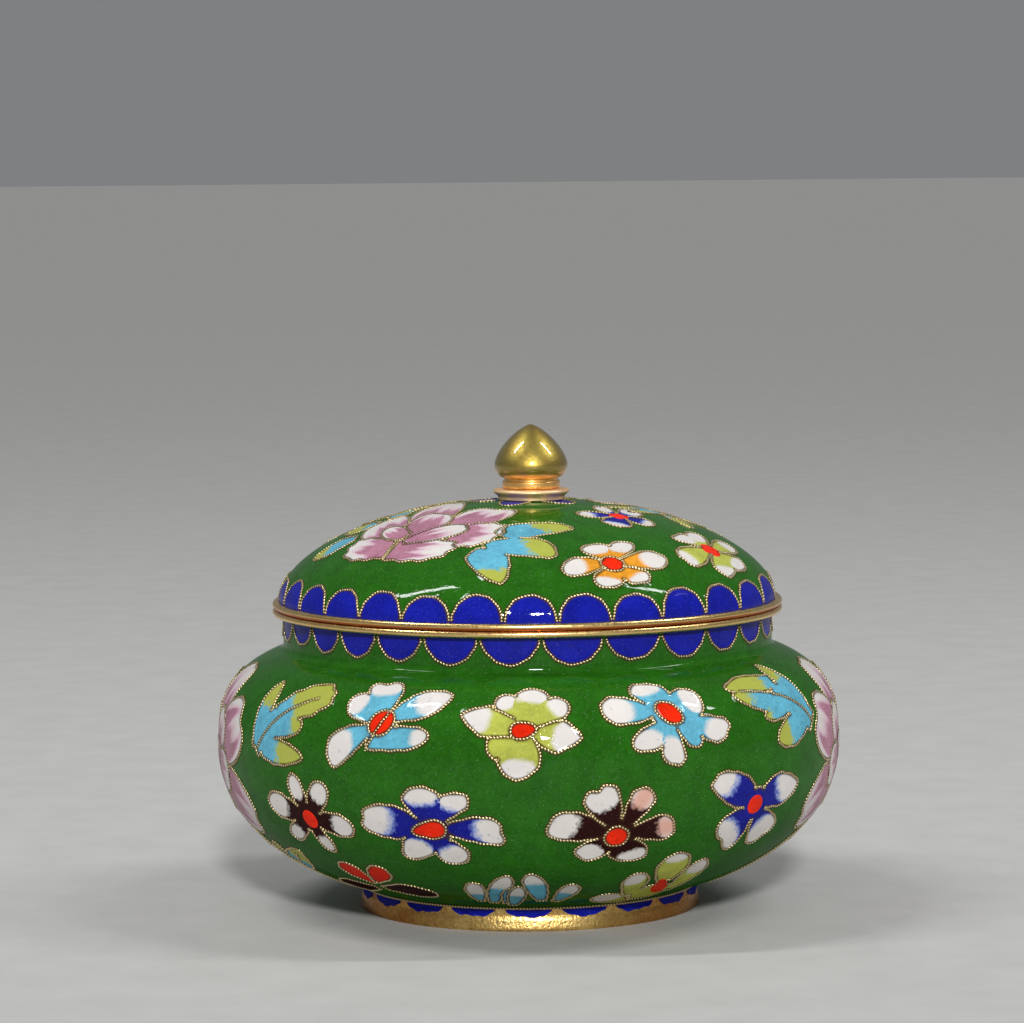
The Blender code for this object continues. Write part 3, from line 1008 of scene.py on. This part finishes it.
class Wires:
    """Runs of twisted wire with the spot that each lies on."""

    def __init__(self):
        """Start with no runs."""
        self.runs = []

    def add(self, spot, points, closed):
        """Keep one run, bent by sines as if laid by hand, by about a tenth of a mm at most."""
        x, y = points.T
        bend = np.stack([np.sin(1.9 * x + 2.3 * y + spot.azimuth),
                         np.cos(2.3 * x - 1.7 * y + spot.azimuth)], -1)
        self.runs.append((spot, points + WIRE_STRAY * bend, closed))

    def add_hoop(self, track, run):
        """Keep a straight wire all the way round a track, as runs of a quarter turn."""
        span = math.radians(45) * track.radius_at(run)
        line = np.stack([np.linspace(-span, span, 80), np.zeros(80)], -1)
        for quarter in range(4):
            self.runs.append((Spot(track, quarter * 90 + 45, run), line, False))

    def twisted(self, finish):
        """Twisted wire along each run.

        The section's radius is r (1 + e cos(2 t - .9 cos f)) at section angle f, where t turns
        half round for each bead, so that the strands' crests stand as slanted beads. The hollow
        attribute is 1 between the beads and down the flanks, and darkens the gilt there as painted
        shade.
        """
        bundle = Bundle()
        angle = math.pi / 2 + np.arange(WIRE_SIDES) * math.tau / WIRE_SIDES
        here = np.arange(WIRE_SIDES)
        ahead = np.roll(here, -1)
        for spot, points, closed in self.runs:
            length = np.linalg.norm(np.diff(points, axis=0), axis=1).sum()
            if closed:
                length += np.linalg.norm(points[0] - points[-1])
            beads = max(int(round(length / finish.pitch)), 2)
            line = resample(points, length / (beads * WIRE_STEPS), closed)
            azimuth, run = spot.polar(line)
            centre = spot.track.at(azimuth, run, finish.wire_height)
            normal = spot.track.outward(azimuth, run)
            side = unit(np.cross(headings(centre, closed), normal))
            turn = np.arange(len(line)) * math.pi / WIRE_STEPS
            shape = 1 + WIRE_SWING * np.cos(2 * turn[:, None] - .9 * np.cos(angle))
            radius = finish.wire / 2 / (1 + WIRE_SWING) * shape
            # The hollow value carries painted shade into the wire's gilt, between the beads and
            # down the flanks
            hollow = np.maximum((1 + WIRE_SWING - shape) / (2 * WIRE_SWING),
                                .52 * np.abs(np.cos(angle))).reshape(-1)
            wide = (radius * np.cos(angle))[..., None] * side[:, None]
            high = (radius * np.sin(angle) * .85)[..., None] * normal[:, None]
            ring = (centre[:, None] + wide + high).reshape(-1, 3)
            faces = grid_faces(len(line), WIRE_SIDES, True, closed)[:, [0, 3, 2, 1]]
            if not closed:
                end = (len(line) - 1) * WIRE_SIDES
                faces = np.concatenate((faces, triangles(len(ring), ahead, here),
                                        triangles(len(ring) + 1, end + here, end + ahead)))
                ring = np.concatenate((ring, centre[:1], centre[-1:]))
                hollow = np.append(hollow, (1, 1))
            bundle.add(ring, faces, hollow=hollow)
        return bundle

    def banks(self, finish):
        """Low banks of ground enamel on both sides of each wire, with a bell for their section."""
        bundle = Bundle()
        reach = np.array([-.75, -.42, -.2, .2, .42, .75])
        level = finish.ground - .012 + (finish.rise + .02) * np.exp(-(reach / finish.reach) ** 2)
        for spot, points, closed in self.runs:
            line = resample(points, .4, closed)
            ahead = headings(line, closed)
            side = np.stack([ahead[:, 1], -ahead[:, 0]], -1) * spot.side
            flat = line[:, None] + reach[:, None] * side[:, None]
            high = np.tile(level, (len(line), 1))
            if not closed:
                high[[0, -1]] = finish.ground - .03
            faces = grid_faces(len(line), len(reach), False, closed)[:, [0, 3, 2, 1]]
            edge = np.tile(finish.edge(np.abs(reach)), len(line))
            bundle.add(spot.place(flat, high), faces, edge=edge)
        return bundle


def tongue_edge(x, number, band, high, fullness, taper, ragged):
    """Height of a tongue's edge over its half width, x from -1 to 1, with its small waves."""
    arch = np.maximum(1 - np.abs(x) ** fullness, 0) ** (1 / taper)
    waves = 1 + ragged * (np.sin(5 * x + number * 1.7) + np.sin(11 * x + number * 2.9))
    return band + (high - band) * arch * waves


class Ornament:
    """Enamel cells and wires laid on the bowl or the lid, and the pieces made of them."""

    def __init__(self, scene, owner, track):
        """Read the sizes, make the materials and start with no wires."""
        self.finish = Finish(scene.jar_sizes)
        self.look = materials(scene)
        self.owner = owner
        self.track = track
        self.wires = Wires()

    def make(self, name, bundle, look):
        """Make one piece, named with the owner in front, with the given look as its finish."""
        make_piece(self.owner + name, bundle, [self.look[look]])

    def make_wires(self, name):
        """Make the wires kept so far, and the low banks of green enamel beside them."""
        self.make(name + "_wires", self.wires.twisted(self.finish), "wire_gilt")
        self.make(name + "_banks", self.wires.banks(self.finish), "bank_green")
        self.wires = Wires()

    def add_petals(self, cells, spot, rows, layer, streak=0, joined=True, shared=False, web=0,
                   heart=None, place=(0, 0), hearts=None, curls=()):
        """One flower or leaf: the wires round its petals and the enamel in them.

        Joined petals have one outline between them; otherwise each wire is cut where a later
        petal covers it. Shared petals blend their tip colours, a web is a disc of enamel that
        fills the middle, and the heart lies at its place. Layer is how many levels each petal
        lies over the one before.
        """
        petals = [Petal(*row) for row in rows]
        outlines = [petal_outline(petal) for petal in petals]
        disc = heart_outline(Heart(web, web, 0, 0, 0))
        if web:
            outlines.append(disc)
        core = [heart_outline(heart, place)] if heart else []
        runs = []
        for number, outline in enumerate(outlines):
            covers = outlines[number + 1:] + core
            if joined:
                covers = outlines[:number] + covers
            runs += cut_runs(outline, covers, JOINED_MARGIN if joined else LAID_MARGIN)
        if heart and heart.ringed:
            runs.append((resample(core[0], LOOP_STEP, True), True))
        runs += [(curl_points(*curl), False) for curl in curls]
        near = np.concatenate([points for points, closed in runs])
        for points, closed in runs:
            self.wires.add(spot, points, closed)
        for number, petal in enumerate(petals):
            petal_patch(cells, spot, petal, petals if shared else [petal], near, self.finish,
                        number * layer, streak)
        if web:
            disc_patch(cells, spot, disc, np.zeros(2), near, self.finish, WEB_OVER, petals)
        if heart:
            disc_patch(hearts, spot, core[0], np.array(place), near, self.finish, HEART_OVER)

    def add_tongues(self, cells, count, start, warp, end_run, depth, downward, band, gap=.25,
                    fullness=2.2, taper=1.7, strip=False, proud=0.0, ragged=0.0, sway=0.0,
                    sides=0.0, wired=True):
        """Row of cobalt tongues round the track.

        A tongue's height is band + (depth - band) * (1 - |x|^fullness)^(1 / taper) over its half
        width, x from -1 to 1; its grid is height shares times x. The azimuths are evened out by
        a small cosine, and the sway spreads and crowds them three times a turn, as laid by hand.
        Sides is how much shorter the tongues are at the jar's sides. With a strip the enamel
        between the tongues' roots is cobalt too.
        """
        finish = self.finish
        sign = -1 if downward else 1
        marks = start + np.arange(count + 1) * 360 / count
        marks = marks + warp * (1 - np.cos(np.radians(marks)))
        marks = marks + sway * (.7 - np.cos(np.radians(3 * marks + 72)))
        x = np.sin(np.linspace(-math.pi / 2, math.pi / 2, 19))
        line_x = np.sin(np.linspace(-math.pi / 2, math.pi / 2, 61))
        shares = np.array([0, .08, .18, .3, .44, .58, .72, .84, .93, .98, 1])
        faces = grid_faces(len(shares), len(x))[:, ::-sign]
        rim = np.ones((len(shares), len(x)), bool)
        rim[:-1, 1:-1] = False
        rim = rim.reshape(-1)
        strip_shares = np.array([0, .3, .6, .9, 1.05])
        strip_faces = grid_faces(len(strip_shares), 13)[:, ::-sign]
        strip_rim = np.arange(len(strip_shares) * 13) >= (len(strip_shares) - 1) * 13
        for number, (left, right) in enumerate(zip(marks[:-1], marks[1:])):
            full = math.radians((right - left) / 2) * self.track.radius_at(end_run)
            half = full - gap
            high = depth * (1 + .05 * math.sin(number * 2.4) + .03 * math.sin(number * 5.1))
            high = high * (1 - sides * math.sin(math.radians((left + right) / 2)) ** 2)
            spot = Spot(self.track, (left + right) / 2, end_run)
            shape = (number, band, high, fullness, taper, ragged)
            line = np.stack([half * line_x, sign * tongue_edge(line_x, *shape)], -1)
            if wired:
                self.wires.add(spot, line, False)
            y = sign * shares[:, None] * tongue_edge(x, *shape)
            flat = np.stack([np.broadcast_to(half * x, y.shape), y], -1).reshape(-1, 2)
            gap_to_wire = nearest(flat, line)
            lift = np.where(rim, finish.sunk, finish.lift(gap_to_wire)) + proud
            cells.add(spot.place(flat, lift), faces, edge=finish.edge(gap_to_wire) * wired)
            if strip:
                up = sign * strip_shares * band
                flat = np.stack(np.meshgrid(np.linspace(-full, full, 13), up), -1).reshape(-1, 2)
                lay_cell(cells, spot, flat, strip_rim, strip_faces, line, finish, -.006)


def size_property(name, words, metres):
    """A size for the panel."""
    return bpy.props.FloatProperty(name=name, description=words, default=metres, unit="LENGTH")


def count_property(name, words, number):
    """A number of things for the panel."""
    return bpy.props.IntProperty(name=name, description=words, default=number)


def colour_property(name, words, *channels):
    """A colour for the panel."""
    return bpy.props.FloatVectorProperty(name=name, description=words, default=channels,
                                         subtype="COLOR")


class JarSizes(bpy.types.PropertyGroup):
    """Sizes of the enamel and its wires, and the numbers of tongues."""

    wire_width: size_property("Wire width", "Breadth of the twisted wire", .00047)
    bead_length: size_property("Bead length", "Length of one bead of the twist", .00053)
    wire_height: size_property(
        "Wire height", "Level of the wire's middle against the solid's surface", -.00021)
    enamel_depth: size_property(
        "Enamel depth", "How far the ground enamel lies under the wires' crests", .00027)
    enamel_rise: size_property("Enamel rise", "How far the enamel climbs the wires", .00009)
    rise_reach: size_property("Rise reach", "Breadth of the climb beside a wire", .00042)
    neck_tongues: count_property("Neck tongues", "Cobalt tongues round the neck", 28)
    lid_tongues: count_property("Lid tongues", "Cobalt tongues round the lid's edge", 30)
    foot_tongues: count_property("Foot tongues", "Cobalt tongues round the foot", 19)
    crown_tongues: count_property("Crown tongues", "Cobalt tongues round the finial", 5)


class JarColours(bpy.types.PropertyGroup):
    """Colours of the enamels and the metal."""

    green: colour_property("Ground green", "Green of the ground enamel", .014, .098, .004)
    cobalt: colour_property("Cobalt", "Blue of the tongues and blossoms", .006, .010, .27)
    turquoise: colour_property("Turquoise", "Pale blue of blossoms and leaves", .10, .36, .49)
    lime: colour_property("Lime", "Yellow green of blossoms and leaf tips", .38, .41, .065)
    aubergine: colour_property("Aubergine", "Near black red of blossoms", .020, .003, .003)
    orange: colour_property("Orange", "Orange of the lid's blossom", .66, .27, .018)
    red: colour_property("Red", "Red of the hearts", .70, .018, .002)
    mauve: colour_property("Mauve", "Mauve of the peonies", .38, .165, .235)
    white: colour_property("White", "White of the petal tips", .67, .635, .605)
    inner_blue: colour_property("Inner blue", "Plain enamel inside and underneath", .05, .26, .36)
    gilt: colour_property("Gilt", "Gilding of the rims", .86, .62, .25)


def materials(scene):
    """The jar's materials by name, made once."""
    colours = scene.jar_colours
    colour = {key: tuple(getattr(colours, key)) for key in colours.__annotations__}
    white = colour["white"]
    enamels = (
        ("ground_green", colour["green"], {"edged": False, "specks": .06}),
        ("bank_green", colour["green"], {"specks": .06}),
        ("cobalt_tongues", colour["cobalt"], {"specks": .03, "mottle": .22}),
        ("turquoise", colour["turquoise"], {"tip": white, "grain": .20}),
        ("lime", colour["lime"], {"tip": white, "grain": .22}),
        ("cobalt", tone(colour["cobalt"], .75), {"tip": white, "grain": .50, "specks": .04,
                                                 "middle": (.16, .22, .52), "fineness": 1300}),
        ("aubergine", colour["aubergine"], {"tip": white, "grain": .60, "specks": .02,
                                            "coat": .30, "fineness": 1600}),
        ("orange", colour["orange"], {"tip": white, "grain": .30}),
        ("red", colour["red"], {"specks": .03}),
        ("mauve", colour["mauve"], {"tip": white, "grain": .36, "middle": (.62, .42, .50)}),
        ("leaf", colour["turquoise"], {"tip": colour["lime"], "grain": .90, "fineness": 900}),
        ("inner_blue", colour["inner_blue"], {"edged": False, "specks": .08}),
    )
    # Name, base, colour of the wear and of the painted side shade, share that has the wear
    brasses = (
        # The wire's gilt is darkened with painted shade in its grooves and down its flanks
        ("wire_gilt", (1.0, .85, .47), (.93, .62, .25), .40,
         {"rough": (.26, .40), "turned": 0, "shaded_hollows": True, "metallic": .85}),
        ("rim_gilt", colour["gilt"], (.72, .34, .13), .35, {}),
        ("seam_copper", (.52, .15, .045), (.38, .09, .03), .5, {"rough": (.28, .42)}),
        # The foot's gilt gets painted side shade, browner and darker towards its left and right
        # ends
        ("foot_gilt", (.90, .63, .22), (.43, .165, .03), .50,
         {"rough": (.22, .44), "grainy": .60, "turned": 0, "painted_side_shade": 1.0}),
        ("collar_gilt", (1.0, .72, .40), (.92, .50, .26), .7,
         {"rough": (.40, .58), "grainy": .14, "metallic": .78}),
        ("bud_gilt", (.40, .31, .060), (.56, .28, .05), .45,
         {"rough": (.36, .50), "grainy": .30, "turned": .3, "lacquer": 1.0,
          "warm": ((.98, .56, .16), .0705, .0696)}),
    )
    for name, base, options in enamels:
        if name not in bpy.data.materials:
            enamel(name, base, **options)
    for name, base, wear_and_shade, worn_share, options in brasses:
        if name not in bpy.data.materials:
            brass(name, base, wear_and_shade, worn_share, **options)
    return bpy.data.materials


class JAR_OT_bowl(bpy.types.Operator):
    """Green enamelled bowl, hollow, with plain blue enamel inside and underneath"""
    bl_idname = "jar.bowl"
    bl_label = "Bowl"

    def execute(self, context):
        """Turn the outer wall, the inner wall, the floor and the recessed underside."""
        look = materials(context.scene)
        # Closer steps down to the shoulder, and an end behind the foot's band
        neck, end = 7, BOWL.length - 1.7
        run = np.concatenate((np.linspace(0, neck, 15), np.linspace(neck, end, 96)[1:]))
        ground = Finish(context.scene.jar_sizes).ground
        outer = np.stack(BOWL.shifted(run, ground), -1)
        inner = np.stack(BOWL.shifted(run, -BOWL_WALL), -1)
        floor = inner[-1, 1]
        underside = floor - BOWL_WALL
        top = NECK_TOP + .25
        band = BAND_BOTTOM - .25
        inside_floor = np.stack((np.linspace(3, inner[-1, 0], 8), np.full(8, floor)), -1)
        start = np.concatenate(([(0, floor)], inside_floor, inner[::-1][3::3],
                                [(inner[0, 0], top), (outer[0, 0], top)]))
        foot = outer[-1, 0] - .4
        under = [(foot, outer[-1, 1] - .1), (foot, band), (FOOT_INNER, band),
                 (FOOT_INNER, underside), (12, underside), (0, underside)]
        outline = np.concatenate((start, outer, under))
        spans = np.ones(len(outline) - 1, int)
        spans[len(start) - 1:len(start) + len(outer) - 1] = 0
        turned_piece("bowl_enamel", outline, JAR_SEGMENTS,
                     [look["ground_green"], look["inner_blue"]], "bowl", spans=spans)
        return {"FINISHED"}


class JAR_OT_lid(bpy.types.Operator):
    """Green enamelled dome of the lid, hollow, with plain blue enamel inside"""
    bl_idname = "jar.lid"
    bl_label = "Lid"

    def execute(self, context):
        """Turn the outer dome from the crown down, the edge and the inner dome back."""
        look = materials(context.scene)
        ground = Finish(context.scene.jar_sizes).ground
        outer = np.stack(LID.shifted(np.linspace(0, LID.length, 84), ground), -1)
        outer[0, 0] = 0
        outer[-1, 1] = LID_EDGE
        angle = np.linspace(0, math.pi / 2, 26)
        dome = LID_BOTTOM + (LID_RISE - LID_WALL) * np.sin(angle) ** (2 / LID_FULLNESS)
        inner = np.stack(((LID_RADIUS - LID_WALL) * np.cos(angle), dome), -1)
        inner[0, 1] = LID_EDGE
        inner[-1, 0] = 0
        spans = np.repeat((0, 1), (len(outer) - 1, len(inner)))
        turned_piece("lid_enamel", np.concatenate((outer, inner)), JAR_SEGMENTS,
                     [look["ground_green"], look["inner_blue"]], "lid", spans=spans)
        return {"FINISHED"}


class JAR_OT_rims(bpy.types.Operator):
    """Gilt ring on the mouth with its upstanding lip, and the ring under the lid's edge"""
    bl_idname = "jar.rims"
    bl_label = "Rims"

    def execute(self, context):
        """Turn both rings, each closed on itself."""
        look = materials(context.scene)
        lip = [(LIP_INNER, LIP_TOP - .25), (LIP_INNER + .1, LIP_TOP - .07),
               (LIP_INNER + .25, LIP_TOP), (LIP_RADIUS - .25, LIP_TOP),
               (LIP_RADIUS - .1, LIP_TOP - .07), (LIP_RADIUS, LIP_TOP - .25),
               (LIP_RADIUS, MOUTH_TOP)]
        outline = np.concatenate((lip, round_edge(RIM_RADIUS, MOUTH_TOP, MOUTH_BOTTOM, .45),
                                  [(LIP_INNER, MOUTH_BOTTOM), lip[0]]))
        turned_piece("mouth_rim", outline, RIM_SEGMENTS, [look["rim_gilt"]],
                     "mouth_ring")
        inner = LID_RADIUS - LID_WALL
        edge = round_edge(RIM_RADIUS, LID_RING_TOP, LID_RING_BOTTOM, .42)
        outline = np.concatenate(([(inner, LID_RING_TOP)], edge,
                                  [(inner, LID_RING_BOTTOM), (inner, LID_RING_TOP)]))
        # The seam's copper shows on the lower half of the edge
        spans = np.repeat((0, 1, 0), (10, 8, len(outline) - 19))
        turned_piece("lid_rim", outline, RIM_SEGMENTS, [look["rim_gilt"], look["seam_copper"]],
                     "lid_ring", spans=spans)
        return {"FINISHED"}


class JAR_OT_foot(bpy.types.Operator):
    """Gilt foot ring, with wear, pits and painted side shade, and the gilt band that the foot's
    tongues lie on
    """
    bl_idname = "jar.foot"
    bl_label = "Foot"

    def execute(self, context):
        """Turn the ring with its slight flare, in one with the band above it."""
        look = materials(context.scene)
        back = FOOT_WALL - .55
        band = FOOT_WALL - .14
        outline = dense([
            (back, BAND_TOP), (FOOT_WALL - .2, BAND_TOP), (band, BAND_TOP - .15),
            (band, FOOT_TOP + .3), (FOOT_WALL, FOOT_TOP), (FOOT_WALL + .05, 1.4),
            (FOOT_RADIUS - .03, .6), (FOOT_RADIUS, .22), (FOOT_RADIUS - .08, .06),
            (FOOT_RADIUS - .25, 0), (FOOT_INNER + .25, 0), (FOOT_INNER + .07, .07),
            (FOOT_INNER, .25), (FOOT_INNER, FOOT_TOP + .3), (back, FOOT_TOP + .3),
            (back, BAND_TOP)], .3)
        turned_piece("foot_rim", outline, JAR_SEGMENTS, [look["foot_gilt"]],
                     "foot_ring")
        return {"FINISHED"}


class JAR_OT_finial(bpy.types.Operator):
    """Gilt bud with its grooved neck, on a low collar"""
    bl_idname = "jar.finial"
    bl_label = "Finial"

    def execute(self, context):
        """Turn the collar and the bud about their own axis, a little to the right of the jar's."""
        look = materials(context.scene)
        # Radius and height of points on the outlines
        edge = dense([(5.5, COLLAR_TOP), (5.85, 67.15), (6.04, 67.02), (6.1, 66.85), (6.08, 66.66),
                      (5.75, 66.38), (5.42, 66.1), (5.36, 65.8), (5.36, COLLAR_BOTTOM)], .12)
        outline = np.concatenate(([(0, COLLAR_TOP)], edge, [(0, COLLAR_BOTTOM)]))
        turned_piece("finial_washer", outline, 96, [look["collar_gilt"]],
                     "finial_collar", FINIAL_SIDE)
        climb = 1 - np.linspace(0, 1, 60) ** 1.6
        bud = np.stack((BUD_RADIUS * (1 - climb ** 1.52) ** .72, BUD_MIDDLE + BUD_RISE * climb), -1)
        bud[0] = (0, BUD_TIP)
        low_radius, low = flank(BUD_RADIUS, BUD_NECK, 0.0, 2.24, 2.2, 4.0, 24)
        low = np.stack((low_radius, BUD_MIDDLE - low), -1)
        neck = dense([(BUD_NECK, 68.86), (BUD_NECK, 68.62), (4.56, 68.50), (4.66, 68.34),
                      (4.66, 67.62), (4.58, 67.46), (4.41, BUD_BOTTOM)], .12)
        outline = np.concatenate((bud, low[1:], neck[1:], [(0, BUD_BOTTOM)]))
        turned_piece("finial_bud", outline, 128, [look["bud_gilt"]], "finial",
                     FINIAL_SIDE)
        return {"FINISHED"}


class JAR_OT_tongues(bpy.types.Operator):
    """Rows of cobalt tongues at the neck, the lid's edge, the foot and round the finial"""
    bl_idname = "jar.tongues"
    bl_label = "Cobalt tongues"

    def execute(self, context):
        """Lay the four rows, with a wire round each tongue but the foot's."""
        sizes = context.scene.jar_sizes
        bowl = Ornament(context.scene, "bowl", BOWL)
        cells = Bundle()
        bowl.add_tongues(cells, sizes.neck_tongues, start=-11, warp=2.5, end_run=0, depth=4.05,
                         downward=True, band=.3, gap=.3, fullness=2.1, taper=1.45, sway=2,
                         sides=.22)
        foot = BOWL.length - 1.5
        bowl.add_tongues(cells, sizes.foot_tongues, start=-10.1, warp=1, end_run=foot, depth=1.2,
                         downward=True, band=.05, gap=.85, fullness=2.3, proud=.16, ragged=.1,
                         wired=False)
        bowl.wires.add_hoop(BOWL, foot - .16)
        bowl.make("_tongues", cells, "cobalt_tongues")
        bowl.make_wires("_tongue")
        lid = Ornament(context.scene, "lid", LID)
        cells = Bundle()
        lid.add_tongues(cells, sizes.lid_tongues, start=-5.5, warp=3.3, end_run=LID.length,
                        depth=4.75, downward=False, band=.45, gap=.22, strip=True)
        lid.add_tongues(cells, sizes.crown_tongues, start=-56, warp=0, end_run=5, depth=4.4,
                        downward=True, band=.5, gap=.7)
        lid.make("_tongues", cells, "cobalt_tongues")
        lid.make_wires("_tongue")
        return {"FINISHED"}


class JAR_OT_blossoms(bpy.types.Operator):
    """Blossoms with four to seven petals and red hearts, on the bowl and the lid"""
    bl_idname = "jar.blossoms"
    bl_label = "Blossoms"

    def execute(self, context):
        """Lay the front blossoms, and the same again half way round the jar."""
        for owner, track, table, scrolls in (("bowl", BOWL, BOWL_BLOSSOMS, BOWL_SCROLLS),
                                             ("lid", LID, LID_BLOSSOMS, ())):
            part = Ornament(context.scene, owner, track)
            families = {}
            hearts = Bundle()
            for half, turn, count in (("front", 0, len(table)), ("back", 180, BACK_BLOSSOMS)):
                for family, azimuth, run, web, heart, place, petals, *curls in table[:count]:
                    cells = families.setdefault(family, Bundle())
                    part.add_petals(cells, Spot(track, azimuth + turn, run), petals, layer=.2,
                                    streak=-1.1, shared=True, web=web, heart=heart, place=place,
                                    hearts=hearts, curls=curls)
                for family, azimuth, run, petals in scrolls:
                    part.add_petals(families[family], Spot(track, azimuth + turn, run), petals,
                                    layer=1, joined=False)
                part.make_wires("_blossom_" + half)
            for family, cells in families.items():
                part.make("_petals_" + family, cells, family)
            part.make("_hearts", hearts, "red")
        return {"FINISHED"}


class JAR_OT_leaves(bpy.types.Operator):
    """Turquoise leaves with lime tips, beside the peonies"""
    bl_idname = "jar.leaves"
    bl_label = "Leaves"

    def execute(self, context):
        """Lay the leaves of the front, and the same again half way round the jar."""
        for owner, track, table in (("bowl", BOWL, BOWL_LEAVES), ("lid", LID, LID_LEAVES)):
            part = Ornament(context.scene, owner, track)
            cells = Bundle()
            for turn in (0, 180):
                for azimuth, run, lobes, *ribs in table:
                    part.add_petals(cells, Spot(track, azimuth + turn, run), lobes, layer=.3,
                                    curls=ribs)
            part.make("_leaves", cells, "leaf")
            part.make_wires("_leaf")
        return {"FINISHED"}


class JAR_OT_peonies(bpy.types.Operator):
    """Mauve and white peonies at both sides of the bowl and on the lid"""
    bl_idname = "jar.peonies"
    bl_label = "Peonies"

    def execute(self, context):
        """Lay each peony's petals from back to front."""
        for owner, track, petals, run, places in (
                ("bowl", BOWL, BOWL_PEONY, 27, ((-83, False), (83, True))),
                ("lid", LID, LID_PEONY, 25.5, ((-30, False), (150, False)))):
            part = Ornament(context.scene, owner, track)
            cells = Bundle()
            for azimuth, mirror in places:
                part.add_petals(cells, Spot(track, azimuth, run, mirror), petals, layer=1,
                                streak=.9, joined=False)
            part.make("_peonies", cells, "mauve")
            part.make_wires("_peony")
        return {"FINISHED"}


def link_object(name, data):
    """Put an object in the scene."""
    made = bpy.data.objects.new(name, data)
    bpy.context.scene.collection.objects.link(made)
    return made


def soft_light(name, azimuth, elevation, power):
    """Tall area light at an azimuth and an elevation in degrees, turned to the jar's shoulder."""
    data = bpy.data.lights.new(name, "AREA")
    data.shape = "RECTANGLE"
    data.size = .05
    data.size_y = .38
    data.energy = power
    side, rise = math.radians(azimuth), math.radians(elevation)
    place = .95 * np.array((math.cos(rise) * math.sin(side), -math.cos(rise) * math.cos(side),
                            math.sin(rise)))
    away = place - (0, 0, .04)
    away = away / np.linalg.norm(away)
    right = np.cross((0, 0, 1), away)
    right = right / np.linalg.norm(right)
    turn = np.stack((right, np.cross(away, right), away, place), -1)
    link_object(name, data).matrix_world = Matrix((*turn.tolist(), (0, 0, 0, 1)))


class JAR_OT_stage(bpy.types.Operator):
    """Pale floor, soft lights and the camera at the photograph's viewing angle"""
    bl_idname = "jar.stage"
    bl_label = "Stage"

    def execute(self, context):
        """Lay the floor, hang the lights and set the camera."""
        scene = context.scene
        mesh = bpy.data.meshes.new("pale_floor")
        size = 40.0
        mesh.from_pydata([(-size, -size, 0), (size, -size, 0), (size, size, 0), (-size, size, 0)],
                         [], [(0, 1, 2, 3)])
        tree, shader, place = new_material("pale_floor", (.62, .61, .59))
        cloud = noise(tree, place, 90, 3, .6)
        colour = blend(tree, share(tree, cloud, .3, .7), (.46, .455, .44), (.50, .495, .48))
        tree.links.new(colour, shader.inputs["Base Color"])
        shader.inputs["Roughness"].default_value = .75
        mesh.materials.append(bpy.data.materials["pale_floor"])
        link_object("pale_floor", mesh)
        soft_light("left_strip", azimuth=-80, elevation=60, power=3)
        soft_light("right_strip", azimuth=88, elevation=53, power=2.7)
        data = bpy.data.lights.new("front_key", "SUN")
        data.energy = 2.6
        data.angle = math.radians(6)
        key = link_object("front_key", data)
        elevation, turn = math.radians(25), math.radians(4)
        key.rotation_euler = (math.pi / 2 - elevation, 0, turn)
        world = bpy.data.worlds.new("studio")
        world.use_nodes = True
        back = world.node_tree.nodes["Background"]
        back.inputs["Color"].default_value = (.78, .80, .82, 1)
        back.inputs["Strength"].default_value = .27
        scene.world = world
        scene.view_settings.view_transform = "Standard"
        # The lens as it fits the photograph: its length and its centre's offset, in picture points
        width, length, offset, film = 1024, 4232, .5, 36
        data = bpy.data.cameras.new("photo_camera")
        data.sensor_fit = "HORIZONTAL"
        data.sensor_width = film
        data.lens = length / width * film
        data.shift_x = offset / width
        data.shift_y = -offset / width
        data.clip_start = .01
        camera = link_object("photo_camera", data)
        looking_down, tilt = 4.61, .54
        pitch = Matrix.Rotation(math.radians(90 - looking_down), 4, "X")
        roll = Matrix.Rotation(-math.radians(tilt), 4, "Z")
        camera.matrix_world = Matrix.Translation((-.0024, -.6789, .1183)) @ pitch @ roll
        scene.camera = camera
        return {"FINISHED"}


class JAR_PT_panel(bpy.types.Panel):
    """Sizes, colours and pieces of the jar"""
    bl_idname = "JAR_PT_panel"
    bl_label = "Jar"
    bl_space_type = "VIEW_3D"
    bl_region_type = "UI"
    bl_category = "Jar"

    def draw(self, context):
        """List the sizes, the colours and a button for each operator."""
        for group in (context.scene.jar_sizes, context.scene.jar_colours):
            for key in group.__annotations__:
                self.layout.prop(group, key)
        for operator in OPERATORS:
            self.layout.operator(operator.bl_idname)


OPERATORS = (JAR_OT_bowl, JAR_OT_lid, JAR_OT_rims, JAR_OT_foot, JAR_OT_finial, JAR_OT_tongues,
             JAR_OT_blossoms, JAR_OT_leaves, JAR_OT_peonies, JAR_OT_stage)
CLASSES = (JarSizes, JarColours, *OPERATORS, JAR_PT_panel)


def register():
    """Register the classes and hang their properties on the scene."""
    for item in CLASSES:
        bpy.utils.register_class(item)
    bpy.types.Scene.jar_sizes = bpy.props.PointerProperty(type=JarSizes)
    bpy.types.Scene.jar_colours = bpy.props.PointerProperty(type=JarColours)


def unregister():
    """Take the properties and the classes away again."""
    del bpy.types.Scene.jar_colours
    del bpy.types.Scene.jar_sizes
    for item in reversed(CLASSES):
        bpy.utils.unregister_class(item)


def main():
    register()
    for step in (bpy.ops.jar.stage, bpy.ops.jar.bowl, bpy.ops.jar.lid, bpy.ops.jar.rims,
                 bpy.ops.jar.foot, bpy.ops.jar.finial, bpy.ops.jar.tongues, bpy.ops.jar.blossoms,
                 bpy.ops.jar.leaves, bpy.ops.jar.peonies):
        if step() != {"FINISHED"}:
            raise RuntimeError("a step of the jar did not finish")


if __name__ == "__main__":
    main()
